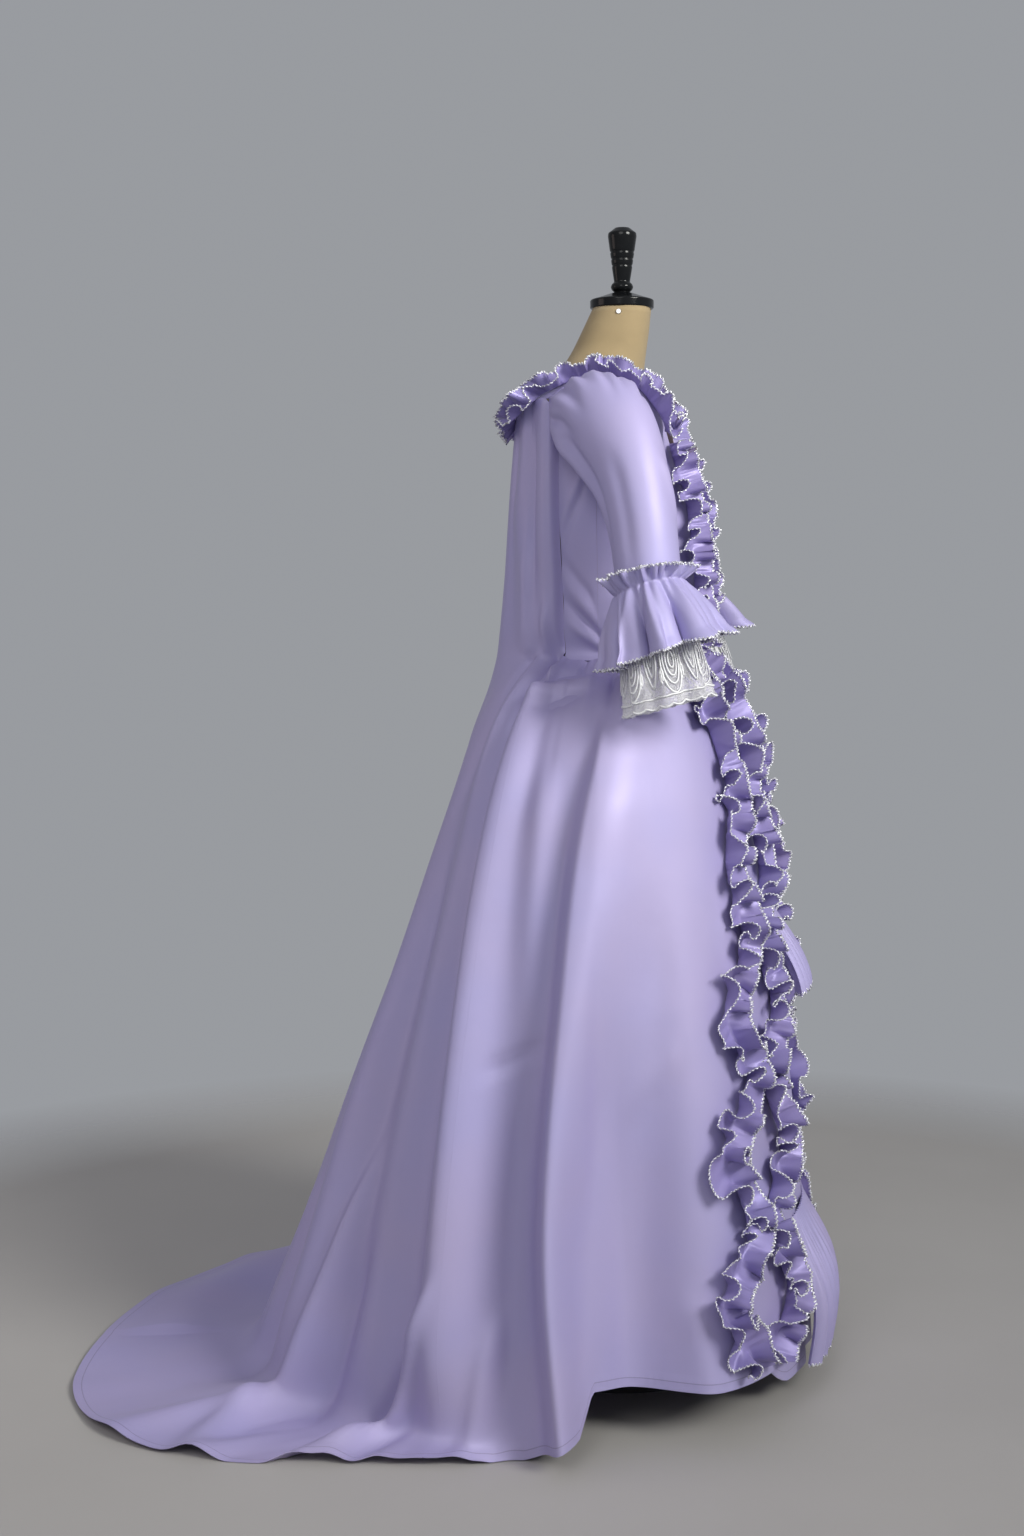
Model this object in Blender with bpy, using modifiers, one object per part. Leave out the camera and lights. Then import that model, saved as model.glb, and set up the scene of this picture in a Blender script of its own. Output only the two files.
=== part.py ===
"""Sack-back ball gown of lilac satin, standing on a dress form with a pole and a round foot.

Metres, +Z up. The gown faces -Y, the wearer's left is +X and the foot stands on the origin.
Angles run round the body in degrees, from the front (0) to the back (180). Side is +1 for the
wearer's left and -1 for the right.
"""

import bmesh
import bpy
import numpy as np

# Cloth

CLOTH = 0.0020
TRIM = 0.0016
SEAM = 0.0006
TOUCH = 0.0004

# Body of the gown: the outer face from shoulder to floor, as radii about an upright axis

AXIS_Y = 0.020
WAIST_Z = 1.020
BODY_ANGLES = (0, 30, 60, 90, 112, 130, 150, 180)
BODY = (
    # z, then the radius at each of BODY_ANGLES
    (0.000, 0.316, 0.335, 0.385, 0.420, 0.430, 0.450, 0.481, 0.508),
    (0.080, 0.310, 0.328, 0.377, 0.411, 0.418, 0.433, 0.453, 0.470),
    (0.200, 0.300, 0.317, 0.364, 0.396, 0.399, 0.405, 0.414, 0.420),
    (0.400, 0.280, 0.296, 0.340, 0.370, 0.367, 0.361, 0.355, 0.350),
    (0.600, 0.256, 0.271, 0.310, 0.338, 0.328, 0.311, 0.293, 0.282),
    (0.760, 0.232, 0.246, 0.282, 0.307, 0.292, 0.268, 0.245, 0.231),
    (0.860, 0.213, 0.225, 0.258, 0.280, 0.263, 0.237, 0.213, 0.200),
    (0.930, 0.195, 0.204, 0.228, 0.244, 0.231, 0.210, 0.191, 0.180),
    (0.980, 0.170, 0.175, 0.187, 0.194, 0.189, 0.179, 0.169, 0.163),
    (1.020, 0.140, 0.139, 0.126, 0.117, 0.126, 0.142, 0.154, 0.154),
    (1.060, 0.140, 0.139, 0.127, 0.118, 0.126, 0.141, 0.151, 0.149),
    (1.120, 0.141, 0.141, 0.132, 0.124, 0.130, 0.140, 0.147, 0.143),
    (1.190, 0.138, 0.139, 0.138, 0.135, 0.138, 0.142, 0.143, 0.137),
    (1.250, 0.127, 0.131, 0.138, 0.141, 0.141, 0.141, 0.138, 0.131),
    (1.310, 0.105, 0.110, 0.132, 0.144, 0.141, 0.139, 0.132, 0.125),
    (1.390, 0.080, 0.092, 0.124, 0.142, 0.139, 0.137, 0.126, 0.117),
)
SACK_ANGLE = 112.0

# Hem: how high it hangs, and how far the train reaches along the floor

HEM_LIFT = (
    # angle, height
    (0, 0.068),
    (84, 0.072),
    (92, 0.034),
    (99, 0.0),
    (180, 0.0),
)
TRAIN_REACH = (
    # angle, distance from the axis
    (0, 0.0),
    (96, 0.410),
    (108, 0.470),
    (122, 0.545),
    (135, 0.640),
    (146, 0.705),
    (160, 0.745),
    (180, 0.745),
)
TRAIN_SWEEP = 0.060
FLOOR_BEND = 0.13

# Folds of the skirt, one row a ridge, the same on both sides

FOLDS = (
    # angle at hip, at knee, at hem, height, front width, back width
    (58, 64, 62, 0.012, 14, 12),
    (77, 98, 97, 0.048, 16, 4.5),
    (117, 121, 118, 0.050, 7, 11),
    (146, 150, 149, 0.034, 10, 10),
    (180, 180, 180, 0.022, 12, 12),
)
FLOOR_FOLD = 0.70
HEM_FOLD = 0.30

# Front edge of the gown, where the stomacher and the petticoat show

OPENING = (
    # z, angle of the edge
    (0.00, 28),
    (0.40, 25),
    (0.80, 19),
    (1.02, 17),
    (1.10, 18),
    (1.20, 22),
    (1.32, 30),
)

# Dress form

FORM_SECTIONS = (
    # z, half width, front y, back y
    (0.800, 0.148, -0.082, 0.112),
    (0.870, 0.156, -0.088, 0.120),
    (0.940, 0.136, -0.092, 0.104),
    (1.020, 0.104, -0.100, 0.086),
    (1.100, 0.110, -0.104, 0.092),
    (1.190, 0.126, -0.104, 0.104),
    (1.250, 0.131, -0.092, 0.110),
    (1.310, 0.135, -0.070, 0.113),
    (1.350, 0.132, -0.052, 0.110),
    (1.380, 0.124, -0.038, 0.106),
    (1.400, 0.112, -0.032, 0.100),
    (1.420, 0.078, -0.030, 0.090),
    (1.450, 0.052, -0.033, 0.072),
    (1.480, 0.047, -0.037, 0.057),
    (1.5117, 0.0425, -0.0400, 0.0420),
)
NECK_Y = 0.001
FORM_COLOUR = (0.60, 0.48, 0.32)
LILAC = (0.50, 0.44, 0.68)
LACE_WHITE = (0.85, 0.85, 0.82)
BLACK = (0.012, 0.014, 0.014)
STEEL = (0.55, 0.55, 0.56)


# Curves and tables


def spline(x, xs, ys):
    """Cubic through the points (xs, ys), each slope that of its neighbours; ys may have columns."""
    x = np.asarray(x, float)
    xs = np.asarray(xs, float)
    ys = np.asarray(ys, float)
    slopes = np.gradient(ys, xs, axis=0)
    i = np.clip(np.searchsorted(xs, x) - 1, 0, len(xs) - 2)
    step = xs[i + 1] - xs[i]
    t = (x - xs[i]) / step
    if ys.ndim > 1:
        step = step[..., None]
        t = t[..., None]
    held = (2 * t**3 - 3 * t**2 + 1) * ys[i] + (3 * t**2 - 2 * t**3) * ys[i + 1]
    return held + step * ((t**3 - 2 * t**2 + t) * slopes[i] + (t**3 - t**2) * slopes[i + 1])


def smooth_step(x, low, high):
    t = np.clip((np.asarray(x, float) - low) / (high - low), 0, 1)
    return t * t * (3 - 2 * t)


def column(table, index):
    return np.array([row[index] for row in table], float)


def body_radius(angle, z):
    """Outer radius of the gown at these angles and heights, level across the front and back lines."""
    shape = np.broadcast(angle, z).shape
    angle = np.broadcast_to(np.abs(angle), shape).ravel()
    z = np.broadcast_to(z, shape).ravel()
    rows = spline(z, column(BODY, 0), np.array(BODY)[:, 1:])
    places = np.array(BODY_ANGLES, float)
    slopes = np.gradient(rows, places, axis=1)
    slopes[:, 0] = 0
    slopes[:, -1] = 0
    i = np.clip(np.searchsorted(places, angle) - 1, 0, len(places) - 2)
    step = places[i + 1] - places[i]
    t = (angle - places[i]) / step
    pick = np.arange(len(i))
    held = (2 * t**3 - 3 * t**2 + 1) * rows[pick, i] + (3 * t**2 - 2 * t**3) * rows[pick, i + 1]
    bend = (t**3 - 2 * t**2 + t) * slopes[pick, i] + (t**3 - t**2) * slopes[pick, i + 1]
    return (held + step * bend).reshape(shape)


def around(radius, angle, z):
    """Points at these radii and angles about the body's axis."""
    turn = np.radians(angle)
    return np.stack([radius * np.sin(turn), AXIS_Y - radius * np.cos(turn), z + 0 * radius], axis=-1)


def opening_angle(z):
    return spline(z, column(OPENING, 0), column(OPENING, 1))


# Skirt


def hem_lift(angle):
    return np.interp(angle, column(HEM_LIFT, 0), column(HEM_LIFT, 1))


def train_reach(angle):
    return spline(angle, column(TRAIN_REACH, 0), column(TRAIN_REACH, 1)) if angle > 96 else 0.0


MERIDIAN_POINTS = 120
MERIDIAN_ANGLES = np.arange(0.0, 180.1, 2.0)


def meridian(angle):
    """Radius and height down the skirt at one angle: the drop, a soft bend and the run along the floor."""
    lowest = max(float(hem_lift(angle)), CLOTH * 0.55)
    z = np.linspace(WAIST_Z, lowest, 90)
    radius = body_radius(angle, z)
    reach = max(float(train_reach(angle)), radius[-1] + 1e-4)
    run = np.linspace(radius[-1], reach, 60)[1:] if reach > radius[-1] + 0.002 else np.empty(0)
    radius = np.concatenate([radius, run])
    z = np.concatenate([z, np.full(len(run), lowest)])
    along = np.concatenate([[0], np.cumsum(np.hypot(np.diff(radius), np.diff(z)))])
    even = np.linspace(0, along[-1], MERIDIAN_POINTS)
    line = np.stack([np.interp(even, along, radius), np.interp(even, along, z)], axis=1)
    half = int(FLOOR_BEND / along[-1] * MERIDIAN_POINTS / 2)
    if len(run):
        before = 2 * line[0] - line[half:0:-1]
        after = 2 * line[-1] - line[-2 : -half - 2 : -1]
        padded = np.concatenate([before, line, after])
        window = np.hanning(2 * half + 3)[1:-1]
        window /= window.sum()
        line = np.stack([np.convolve(padded[:, k], window, "valid") for k in (0, 1)], axis=1)
    return line


MERIDIANS = np.array([meridian(angle) for angle in MERIDIAN_ANGLES])


def fold_height(angle, share, z, run):
    """How far the folds stand out: each ridge a bell that is steeper behind than in front."""
    height = np.zeros(np.broadcast(angle, share).shape)
    for hip, knee, hem, tall, fore, aft in FOLDS:
        place = spline(share, (0.0, 0.5, 1.0), (hip, knee, hem))
        for ridge in (place, 360 - place) if hip == 180 else (place,):
            off = angle - ridge
            width = np.where(off < 0, fore, aft) * (0.55 + 0.45 * smooth_step(share, 0, 0.5))
            height += tall * np.exp(-((off / width) ** 2)) * (0.5 if hip == 180 else 1.0)
    grown = 0.12 + 0.88 * smooth_step(share, 0.03, 0.55)
    laid = 1 - (1 - FLOOR_FOLD) * (1 - smooth_step(z, 0.0, 0.12)) * run
    laid = laid * (1 - (1 - HEM_FOLD) * smooth_step(share, 0.80, 1.0) * run)
    return height * grown * laid * smooth_step(share, 0.0, 0.10)


def skirt_points(side, angle, share, inset=0.0, folded=1.0):
    """Points of the skirt at these angles and shares of its length, folds included.

    Inset moves them inwards along the surface's own normal.
    """
    shape = np.broadcast(angle, share).shape
    angle = np.broadcast_to(angle, shape).astype(float)
    share = np.broadcast_to(share, shape).astype(float)
    size = np.abs(np.where(angle > 180, 360 - angle, angle))
    i = np.clip((size / 2.0).astype(int), 0, len(MERIDIAN_ANGLES) - 2)
    blend = (size - MERIDIAN_ANGLES[i]) / 2.0
    spot = share * (MERIDIAN_POINTS - 1)
    k = np.clip(spot.astype(int), 0, MERIDIAN_POINTS - 2)
    part = (spot - k)[..., None]

    def at(row):
        return MERIDIANS[row, k] * (1 - part) + MERIDIANS[row, k + 1] * part

    def slope(row):
        return MERIDIANS[row, np.minimum(k + 2, MERIDIAN_POINTS - 1)] - MERIDIANS[row, np.maximum(k - 1, 0)]

    weight = blend[..., None]
    place = at(i) * (1 - weight) + at(i + 1) * weight
    tangent = slope(i) * (1 - weight) + slope(i + 1) * weight
    tangent /= np.linalg.norm(tangent, axis=-1, keepdims=True)
    run = smooth_step(size, 90, 106)
    out = fold_height(size, share, place[..., 1], run) * folded - inset
    radius = place[..., 0] - tangent[..., 1] * out
    z = place[..., 1] + tangent[..., 0] * out
    points = around(radius, side * angle, z)
    points[..., 0] -= TRAIN_SWEEP * smooth_step(points[..., 1], 0.25, 0.75)
    return points


# Meshes


def material(name, colour, roughness, metallic=0.0):
    made = bpy.data.materials.new(name)
    made.use_nodes = True
    shader = made.node_tree.nodes["Principled BSDF"]
    shader.inputs["Base Color"].default_value = (*colour, 1)
    shader.inputs["Roughness"].default_value = roughness
    shader.inputs["Metallic"].default_value = metallic
    return made


def add_object(name, mesh, finish):
    made = bpy.data.objects.new(name, mesh)
    made.data.materials.append(finish)
    mesh.shade_smooth()
    mesh.set_sharp_from_angle(angle=np.radians(50))
    GOWN.objects.link(made)
    return made


def grid_faces(rows, columns, wrap):
    """Quads between neighbouring points of a grid stored row by row."""
    j, i = np.meshgrid(np.arange(rows - 1), np.arange(columns if wrap else columns - 1), indexing="ij")
    right = (i + 1) % columns
    corners = (j * columns + i, j * columns + right, (j + 1) * columns + right, (j + 1) * columns + i)
    return np.stack(corners, axis=-1).reshape(-1, 4)


def wall(name, points, thickness, finish, wrap=False):
    """A sheet of cloth through a grid of points, given its thickness half to each side."""
    rows, columns = points.shape[:2]
    mesh = bpy.data.meshes.new(name)
    mesh.from_pydata(points.reshape(-1, 3).tolist(), [], grid_faces(rows, columns, wrap).tolist())
    made = add_object(name, mesh, finish)
    made.modifiers.new("diagonals", "TRIANGULATE")
    solid = made.modifiers.new("thickness", "SOLIDIFY")
    solid.thickness = thickness
    solid.offset = 0
    return made


def turned(name, profile, finish, steps=20, centre=(0, 0)):
    """A turned piece: its profile, as (radius, z) from the top down, carried round an upright axis."""
    mesh = bpy.data.meshes.new(name)
    points = [(radius, 0, z) for radius, z in profile]
    mesh.from_pydata(points, [(k, k + 1) for k in range(len(points) - 1)], [])
    made = add_object(name, mesh, finish)
    made.location = (*centre, 0)
    screw = made.modifiers.new("turn", "SCREW")
    screw.steps = steps
    screw.render_steps = steps
    screw.use_merge_vertices = True
    screw.merge_threshold = 1e-5
    return made


# Strips of trimming


def surface_normals(points, wrap=False):
    """Unit normals of a grid of points, from the differences along its rows and columns."""
    if wrap:
        padded = np.concatenate([points[:, -1:], points, points[:, :1]], axis=1)
        across = np.gradient(padded, axis=1)[:, 1:-1]
    else:
        across = np.gradient(points, axis=1)
    normals = np.cross(across, np.gradient(points, axis=0))
    return normals / np.linalg.norm(normals, axis=-1, keepdims=True)


def on_grid(values, u, v):
    """Values of a grid at columns u and rows v, straight between its points."""
    i = np.clip(u.astype(int), 0, values.shape[1] - 2)
    j = np.clip(v.astype(int), 0, values.shape[0] - 2)
    a = (u - i)[:, None]
    b = (v - j)[:, None]
    near = values[j, i] * (1 - a) + values[j, i + 1] * a
    far = values[j + 1, i] * (1 - a) + values[j + 1, i + 1] * a
    return near * (1 - b) + far * b


def ruffle(path, normals, half_width, rise, depth, waves, phase=0.0):
    """A gathered strip stitched down its middle: both edges stand up and wave.

    Each edge leans out by half_width, rises by rise, and waves by depth at right angles to itself.
    """
    along = np.gradient(path, axis=0)
    along /= np.linalg.norm(along, axis=1, keepdims=True)
    sideways = np.cross(along, normals)
    sideways /= np.linalg.norm(sideways, axis=1, keepdims=True)
    turn = np.linspace(0, 2 * np.pi * waves, len(path)) + phase
    lean = np.hypot(half_width, rise)
    rows = []
    for side in (-1, 0, 1):
        uneven = 0.8 + 0.2 * np.sin(1.7 * turn + side)
        wave = depth * abs(side) * uneven * np.cos(turn)
        out = side * (half_width - wave * rise / lean)
        up = abs(side) * rise + wave * half_width / lean
        rows.append(path + sideways * out[:, None] + normals * up[:, None])
    return np.stack(rows, axis=1)


def even_path(points, extra, count):
    """The path again, with count points spaced evenly, and its extra columns with it."""
    length = np.concatenate([[0], np.cumsum(np.linalg.norm(np.diff(points, axis=0), axis=1))])
    at = np.linspace(0, length[-1], count)
    both = np.concatenate([points, extra], axis=1)
    moved = np.stack([np.interp(at, length, both[:, k]) for k in range(6)], axis=1)
    normals = moved[:, 3:] / np.linalg.norm(moved[:, 3:], axis=1, keepdims=True)
    return moved[:, :3], normals


COLUMNS_A_WAVE = 4
STRIP_COLUMNS = 2


def laid_ruffle(name, path, normals, half_width, rise, depth, waves, phase=0.0, lift=0.0):
    """A ruffle whose middle lies just clear of the cloth that its path follows."""
    count = waves * STRIP_COLUMNS + 1
    path, normals = even_path(path, normals, count)
    path = path + normals * (CLOTH / 2 + TRIM / 2 + TOUCH + lift)
    return wall(name, ruffle(path, normals, half_width, rise, depth, waves, phase), TRIM, SATIN_TRIM)


# Bodice

BODICE_LOW = WAIST_Z + 0.0012
HALF_SEAM = np.degrees(SEAM / 2 / 0.13)
NECKLINE = (
    # angle, height of the top edge of the bodice front and side
    (0, 1.296),
    (30, 1.296),
    (40, 1.322),
    (52, 1.349),
    (66, 1.349),
    (74, 1.306),
    (90, 1.284),
    (104, 1.300),
    (112, 1.338),
)
PLEAT_DEPTH = 0.005
SACK_TOP = (
    # angle, height of the top edge of the sack back
    (112, 1.345),
    (117, 1.374),
    (130, 1.376),
    (150, 1.364),
    (180, 1.356),
)


def panel_angles(low, high, shares):
    """A row of angles at each height, at these shares of the way from low to high."""
    return low[:, None] * (1 - shares) + high[:, None] * shares


def neckline(angle):
    return np.interp(angle, column(NECKLINE, 0), column(NECKLINE, 1))


def sack_top(angle):
    return np.interp(angle, column(SACK_TOP, 0), column(SACK_TOP, 1))


def box_pleat(angle):
    """How far the sack's box pleats stand out at the neckline."""
    return PLEAT_DEPTH * np.sin(np.radians(angle - SACK_ANGLE) * 9) ** 2 * smooth_step(angle, 112, 122)


def bodice_panel(side, low_angle, high, columns):
    """Grid of a bodice panel between two lines, from the waist to the neck or armhole edge."""
    share = np.linspace(0, 1, len(high))
    middle = BODICE_LOW + share * (NECKLINE[0][1] - BODICE_LOW)
    angles = panel_angles(low_angle(middle), high, np.linspace(0, 1, columns))
    z = BODICE_LOW + (neckline(angles) - BODICE_LOW) * share[:, None]
    return around(body_radius(angles, z), side * angles, z)


def build_bodice(side, word):
    rows = np.zeros(9)
    front = bodice_panel(side, lambda z: opening_angle(z) + HALF_SEAM, rows + 90 - HALF_SEAM, 9)
    wall(f"bodice_front_{word}", front, CLOTH, SATIN)
    back = bodice_panel(side, lambda z: rows + 90 + HALF_SEAM, rows + SACK_ANGLE - HALF_SEAM, 4)
    wall(f"bodice_side_{word}", back, CLOTH, SATIN)


STOMACHER_POINT = 0.045


def build_stomacher():
    """The front panel between the two front edges, ending below the waist in a blunt point."""
    share = np.linspace(0, 1, 8)
    across = np.linspace(-1, 1, 7)
    low = WAIST_Z - STOMACHER_POINT * (1 - np.abs(across) ** 1.5) - 0.001
    z = low + (1.296 - low) * share[:, None]
    edge = opening_angle(z) - HALF_SEAM
    angles = edge * across
    wall("stomacher", around(body_radius(angles, z), angles, z), CLOTH, SATIN)


STRAP = (
    # inner edge x, y, z, then outer edge x, y, z, over the shoulder from the front to the back
    (0.1060, -0.0380, 1.3860, 0.1280, -0.0150, 1.3790),
    (0.1050, 0.0050, 1.4080, 0.1320, 0.0100, 1.3980),
    (0.1060, 0.0560, 1.4030, 0.1310, 0.0480, 1.3880),
)
STRAP_SEAM = 0.0012
STRAP_FRONT = (54.0, 66.5)
STRAP_BACK = (128.0, 118.5)


def strap_rows(at):
    """Both edges of the strap, from the top edge of the bodice front to that of the sack back."""
    front = np.array(STRAP_FRONT)
    low = neckline(front) + STRAP_SEAM
    first = around(body_radius(front, low), front, low)
    back = np.array(STRAP_BACK)
    low = sack_top(back) + STRAP_SEAM
    last = around(body_radius(back, low) + box_pleat(back), back, low)
    table = np.concatenate([first.reshape(1, 6), np.array(STRAP), last.reshape(1, 6)])
    return spline(at, np.linspace(0, 1, len(table)), table)


def strap_edge(at):
    return strap_rows(at)[:, 3:]


def build_strap(side, word):
    rows = strap_rows(np.linspace(0, 1, 9))
    inner = rows[:, None, :3]
    outer = rows[:, None, 3:]
    across = np.linspace(0, 1, 3)[None, :, None]
    points = inner * (1 - across) + outer * across
    points[..., 0] *= side
    wall(f"shoulder_strap_{word}", points, CLOTH, SATIN)


# Skirt panels

SKIRT_SHARES = (0.0, 0.03, 0.075, 0.125, 0.20, 0.30, 0.42, 0.54, 0.65, 0.74, 0.82, 0.91, 1.0)
SIDE_COLUMNS = (0, 0.1, 0.2, 0.3, 0.4, 0.49, 0.57, 0.64, 0.70, 0.75, 0.79, 0.82, 0.845, 0.87, 0.895)
SIDE_COLUMNS += (0.92, 0.945, 0.97, 1)
SACK_COLUMNS = 33


def seam_shift(angle, share):
    """Half of the seam's gap at this place, as an angle."""
    radius = np.hypot(*np.moveaxis(skirt_points(1, angle, share)[..., :2] - (0, AXIS_Y), -1, 0))
    return np.degrees(SEAM / 2 / radius)


def overskirt_grid(side):
    """Grid of one side of the open overskirt, from its front edge to the sack."""
    share = np.array(SKIRT_SHARES)
    middle = WAIST_Z * (1 - share)
    low = opening_angle(middle) + 0.6
    high = SACK_ANGLE - seam_shift(SACK_ANGLE, share)
    angles = panel_angles(low, high, np.array(SIDE_COLUMNS))
    return skirt_points(side, angles, share[:, None]), angles, share


def sack_grid():
    """Grid of the sack back in one piece: box pleats from the neckline to the waist, then the train."""
    even = np.linspace(-1, 1, SACK_COLUMNS)
    shares = even * (1.25 - 0.25 * even**2)
    upper = np.linspace(1, 0, 7)[:-1]
    seam = SACK_ANGLE + HALF_SEAM
    angles = 180 + shares * (180 - seam)
    size = np.where(angles > 180, 360 - angles, angles)
    z = WAIST_Z + (sack_top(size) - WAIST_Z) * upper[:, None]
    radius = body_radius(size, z) + box_pleat(size) * (0.3 + 0.7 * upper[:, None])
    bodice = around(radius, angles, z)
    share = np.array(SKIRT_SHARES)
    low = SACK_ANGLE + seam_shift(SACK_ANGLE, share)
    angles = 180 + shares * (180 - low[:, None])
    lower = skirt_points(1, angles, share[:, None])
    return np.concatenate([bodice, lower])


PETTICOAT_COLUMNS = 36
PETTICOAT_HEIGHTS = (1.012, 0.950, 0.870, 0.770, 0.672, 0.450, 0.245, 0.030)


def petticoat_points(angles, heights, out=0.0):
    """Points on the petticoat, which hangs inside the gown, close at the waist and clear below."""
    inset = 0.0034 + 0.0086 * smooth_step(WAIST_Z - heights, 0.03, 0.14)
    step = 0.002
    slope = (body_radius(angles, heights + step) - body_radius(angles, heights - step)) / (2 * step)
    return around(body_radius(angles, heights) - (inset - out) * np.hypot(1, slope), angles, heights)


def build_petticoat():
    z = np.array(PETTICOAT_HEIGHTS)
    angles = np.linspace(0, 360, PETTICOAT_COLUMNS, endpoint=False)
    size = np.where(angles > 180, angles - 360, angles)
    wall("petticoat", petticoat_points(size[None, :], z[:, None]), CLOTH, SATIN, wrap=True)


FLOUNCES = (
    # name, top z, bottom z, half angle at top, at bottom, stands out, wave depth, waves, belly
    ("petticoat_flounce", 0.672, 0.556, 19.0, 21.0, 0.032, 0.007, 8, 0.0),
    ("petticoat_hem_flounce", 0.245, 0.045, 24.3, 25.6, 0.016, 0.008, 9, 0.020),
)


def build_flounce(name, top, bottom, half_top, half_bottom, out, depth, waves, belly):
    """A gathered tier across the front of the petticoat, between the edges of the overskirt."""
    rows = 4
    share = np.linspace(0, 1, rows)[:, None]
    across = np.linspace(-1, 1, waves * COLUMNS_A_WAVE + 1)[None, :]
    z = top + (bottom - top) * share
    angles = across * (half_top + (half_bottom - half_top) * share)
    wave = depth * smooth_step(share, 0, 0.7) * np.sin(across * np.pi * waves + np.pi / 4)
    stand = CLOTH / 2 + TRIM / 2 + TOUCH + out * smooth_step(share, 0, 1.0)
    stand = stand + belly * np.sin(np.pi * share) ** 1.2 + wave + depth * smooth_step(share, 0, 0.5)
    wall(name, petticoat_points(angles, z, stand), TRIM, SATIN_TRIM)


# Trimming down the overskirt's front edges

TRIM_TOP = 0.020
TRIM_END = 0.985
LOZENGES = 5
TRIM_WAVES = 20
TRIM_HALF_WIDTH = 0.0185
TRIM_RISE = 0.020
TRIM_DEPTH = 0.0100
TRIM_CENTRE = ((0.0, 0.050), (0.3, 0.072), (1.0, 0.084))
TRIM_SPREAD = ((0.0, 0.027), (0.3, 0.034), (0.6, 0.048), (1.0, 0.052))
TRIM_NARROW = 0.0280


def build_skirt_trim(side, word, grid, angles, shares):
    """Two ruffles down each front edge, drawing together and apart to make a chain of ovals."""
    normals = surface_normals(grid) * -side
    at = np.linspace(TRIM_TOP, TRIM_END, 160)
    row = np.interp(at, shares, np.arange(len(shares)))
    centre = np.interp(at, *zip(*TRIM_CENTRE))
    spread = np.interp(at, *zip(*TRIM_SPREAD))
    swing = 0.5 - 0.5 * np.cos(2 * np.pi * LOZENGES * (at - TRIM_TOP) / (TRIM_END - TRIM_TOP))
    apart = TRIM_NARROW + (spread - TRIM_NARROW) * swing
    edges = np.linalg.norm(np.diff(grid, axis=1), axis=2)
    across = np.concatenate([np.zeros((len(grid), 1)), np.cumsum(edges, axis=1)], axis=1)
    for which, sign in (("inner", -1), ("outer", 1)):
        distance = centre + sign * apart
        columns = np.array(
            [
                np.interp(d, on_row(across, r), np.arange(grid.shape[1]))
                for d, r in zip(distance, row)
            ]
        )
        path = on_grid(grid, columns, row)
        facing = on_grid(normals, columns, row)
        lift = 0.0005 if sign < 0 else 0.0012
        laid_ruffle(
            f"skirt_trim_{which}_{word}",
            path,
            facing,
            TRIM_HALF_WIDTH,
            TRIM_RISE,
            TRIM_DEPTH,
            TRIM_WAVES,
            phase=np.pi if sign > 0 else 0.0,
            lift=lift,
        )


def on_row(values, row):
    """One row of a table, read between two of its rows."""
    j = min(int(row), len(values) - 2)
    return values[j] * (1 - (row - j)) + values[j + 1] * (row - j)


ROBING_WAVES = 9


def build_robing(side, word):
    """The ruffle down each front edge of the bodice."""
    z = np.linspace(1.316, 1.036, 60)
    angles = opening_angle(z) + 9.0
    grid_rows = body_radius(angles, z)
    path = around(grid_rows, side * angles, z)
    ahead = around(body_radius(angles + 1, z), side * (angles + 1), z) - path
    facing = np.cross(ahead, np.gradient(path, axis=0)) * -side
    facing /= np.linalg.norm(facing, axis=1, keepdims=True)
    laid_ruffle(f"robing_{word}", path, facing, 0.0150, 0.018, 0.0070, ROBING_WAVES, lift=0.0020)


NECK_PATH = (
    # x, y, z, then the way the ruffle faces, for half of the neck from the front to the back
    (0.0790, -0.0660, 1.3330, 0.30, -0.80, 0.50),
    (0.0930, -0.0660, 1.3430, 0.30, -0.80, 0.55),
    (0.1080, -0.0535, 1.3650, 0.35, -0.65, 0.70),
    (0.1120, -0.0290, 1.3918, 0.30, -0.40, 0.87),
    (0.1130, 0.0070, 1.4072, 0.25, 0.00, 0.97),
    (0.1130, 0.0500, 1.4017, 0.25, 0.25, 0.94),
    (0.1130, 0.0905, 1.3865, 0.35, 0.60, 0.72),
    (0.1000, 0.1205, 1.3680, 0.50, 0.84, 0.20),
    (0.0700, 0.1390, 1.3580, 0.40, 0.90, 0.10),
    (0.0350, 0.1450, 1.3520, 0.20, 0.97, 0.08),
    (0.0000, 0.1480, 1.3490, 0.00, 1.00, 0.06),
)
NECK_WAVES = 20


def build_neck_ruffle():
    """One ruffle from the front of one strap, over the shoulders and round the back neckline."""
    half = np.array(NECK_PATH)
    mirrored = half[-2::-1] * (-1, 1, 1, -1, 1, 1)
    whole = np.concatenate([half, mirrored])
    rows = spline(np.linspace(0, 1, 120), np.linspace(0, 1, len(whole)), whole)
    normals = rows[:, 3:] / np.linalg.norm(rows[:, 3:], axis=1, keepdims=True)
    laid_ruffle("neck_ruffle", rows[:, :3], normals, 0.0150, 0.019, 0.0080, NECK_WAVES, lift=-0.0003)


# Sleeves

ARMHOLE_LAP = 0.0024
SLEEVE = (
    # outer x, outer z, inner x, inner z, middle y, half depth, rise to the front
    (0.163, 1.409, 0.1575, 1.279, 0.016, 0.066, 0.000),
    (0.200, 1.392, 0.1630, 1.266, 0.004, 0.068, 0.000),
    (0.232, 1.350, 0.1680, 1.245, -0.012, 0.065, 0.000),
    (0.254, 1.290, 0.1730, 1.218, -0.030, 0.056, 0.002),
    (0.268, 1.225, 0.1790, 1.182, -0.044, 0.051, 0.004),
    (0.277, 1.165, 0.1860, 1.142, -0.054, 0.046, 0.009),
    (0.286, 1.110, 0.2000, 1.098, -0.063, 0.041, 0.014),
)
SLEEVE_COLUMNS = 16


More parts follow.
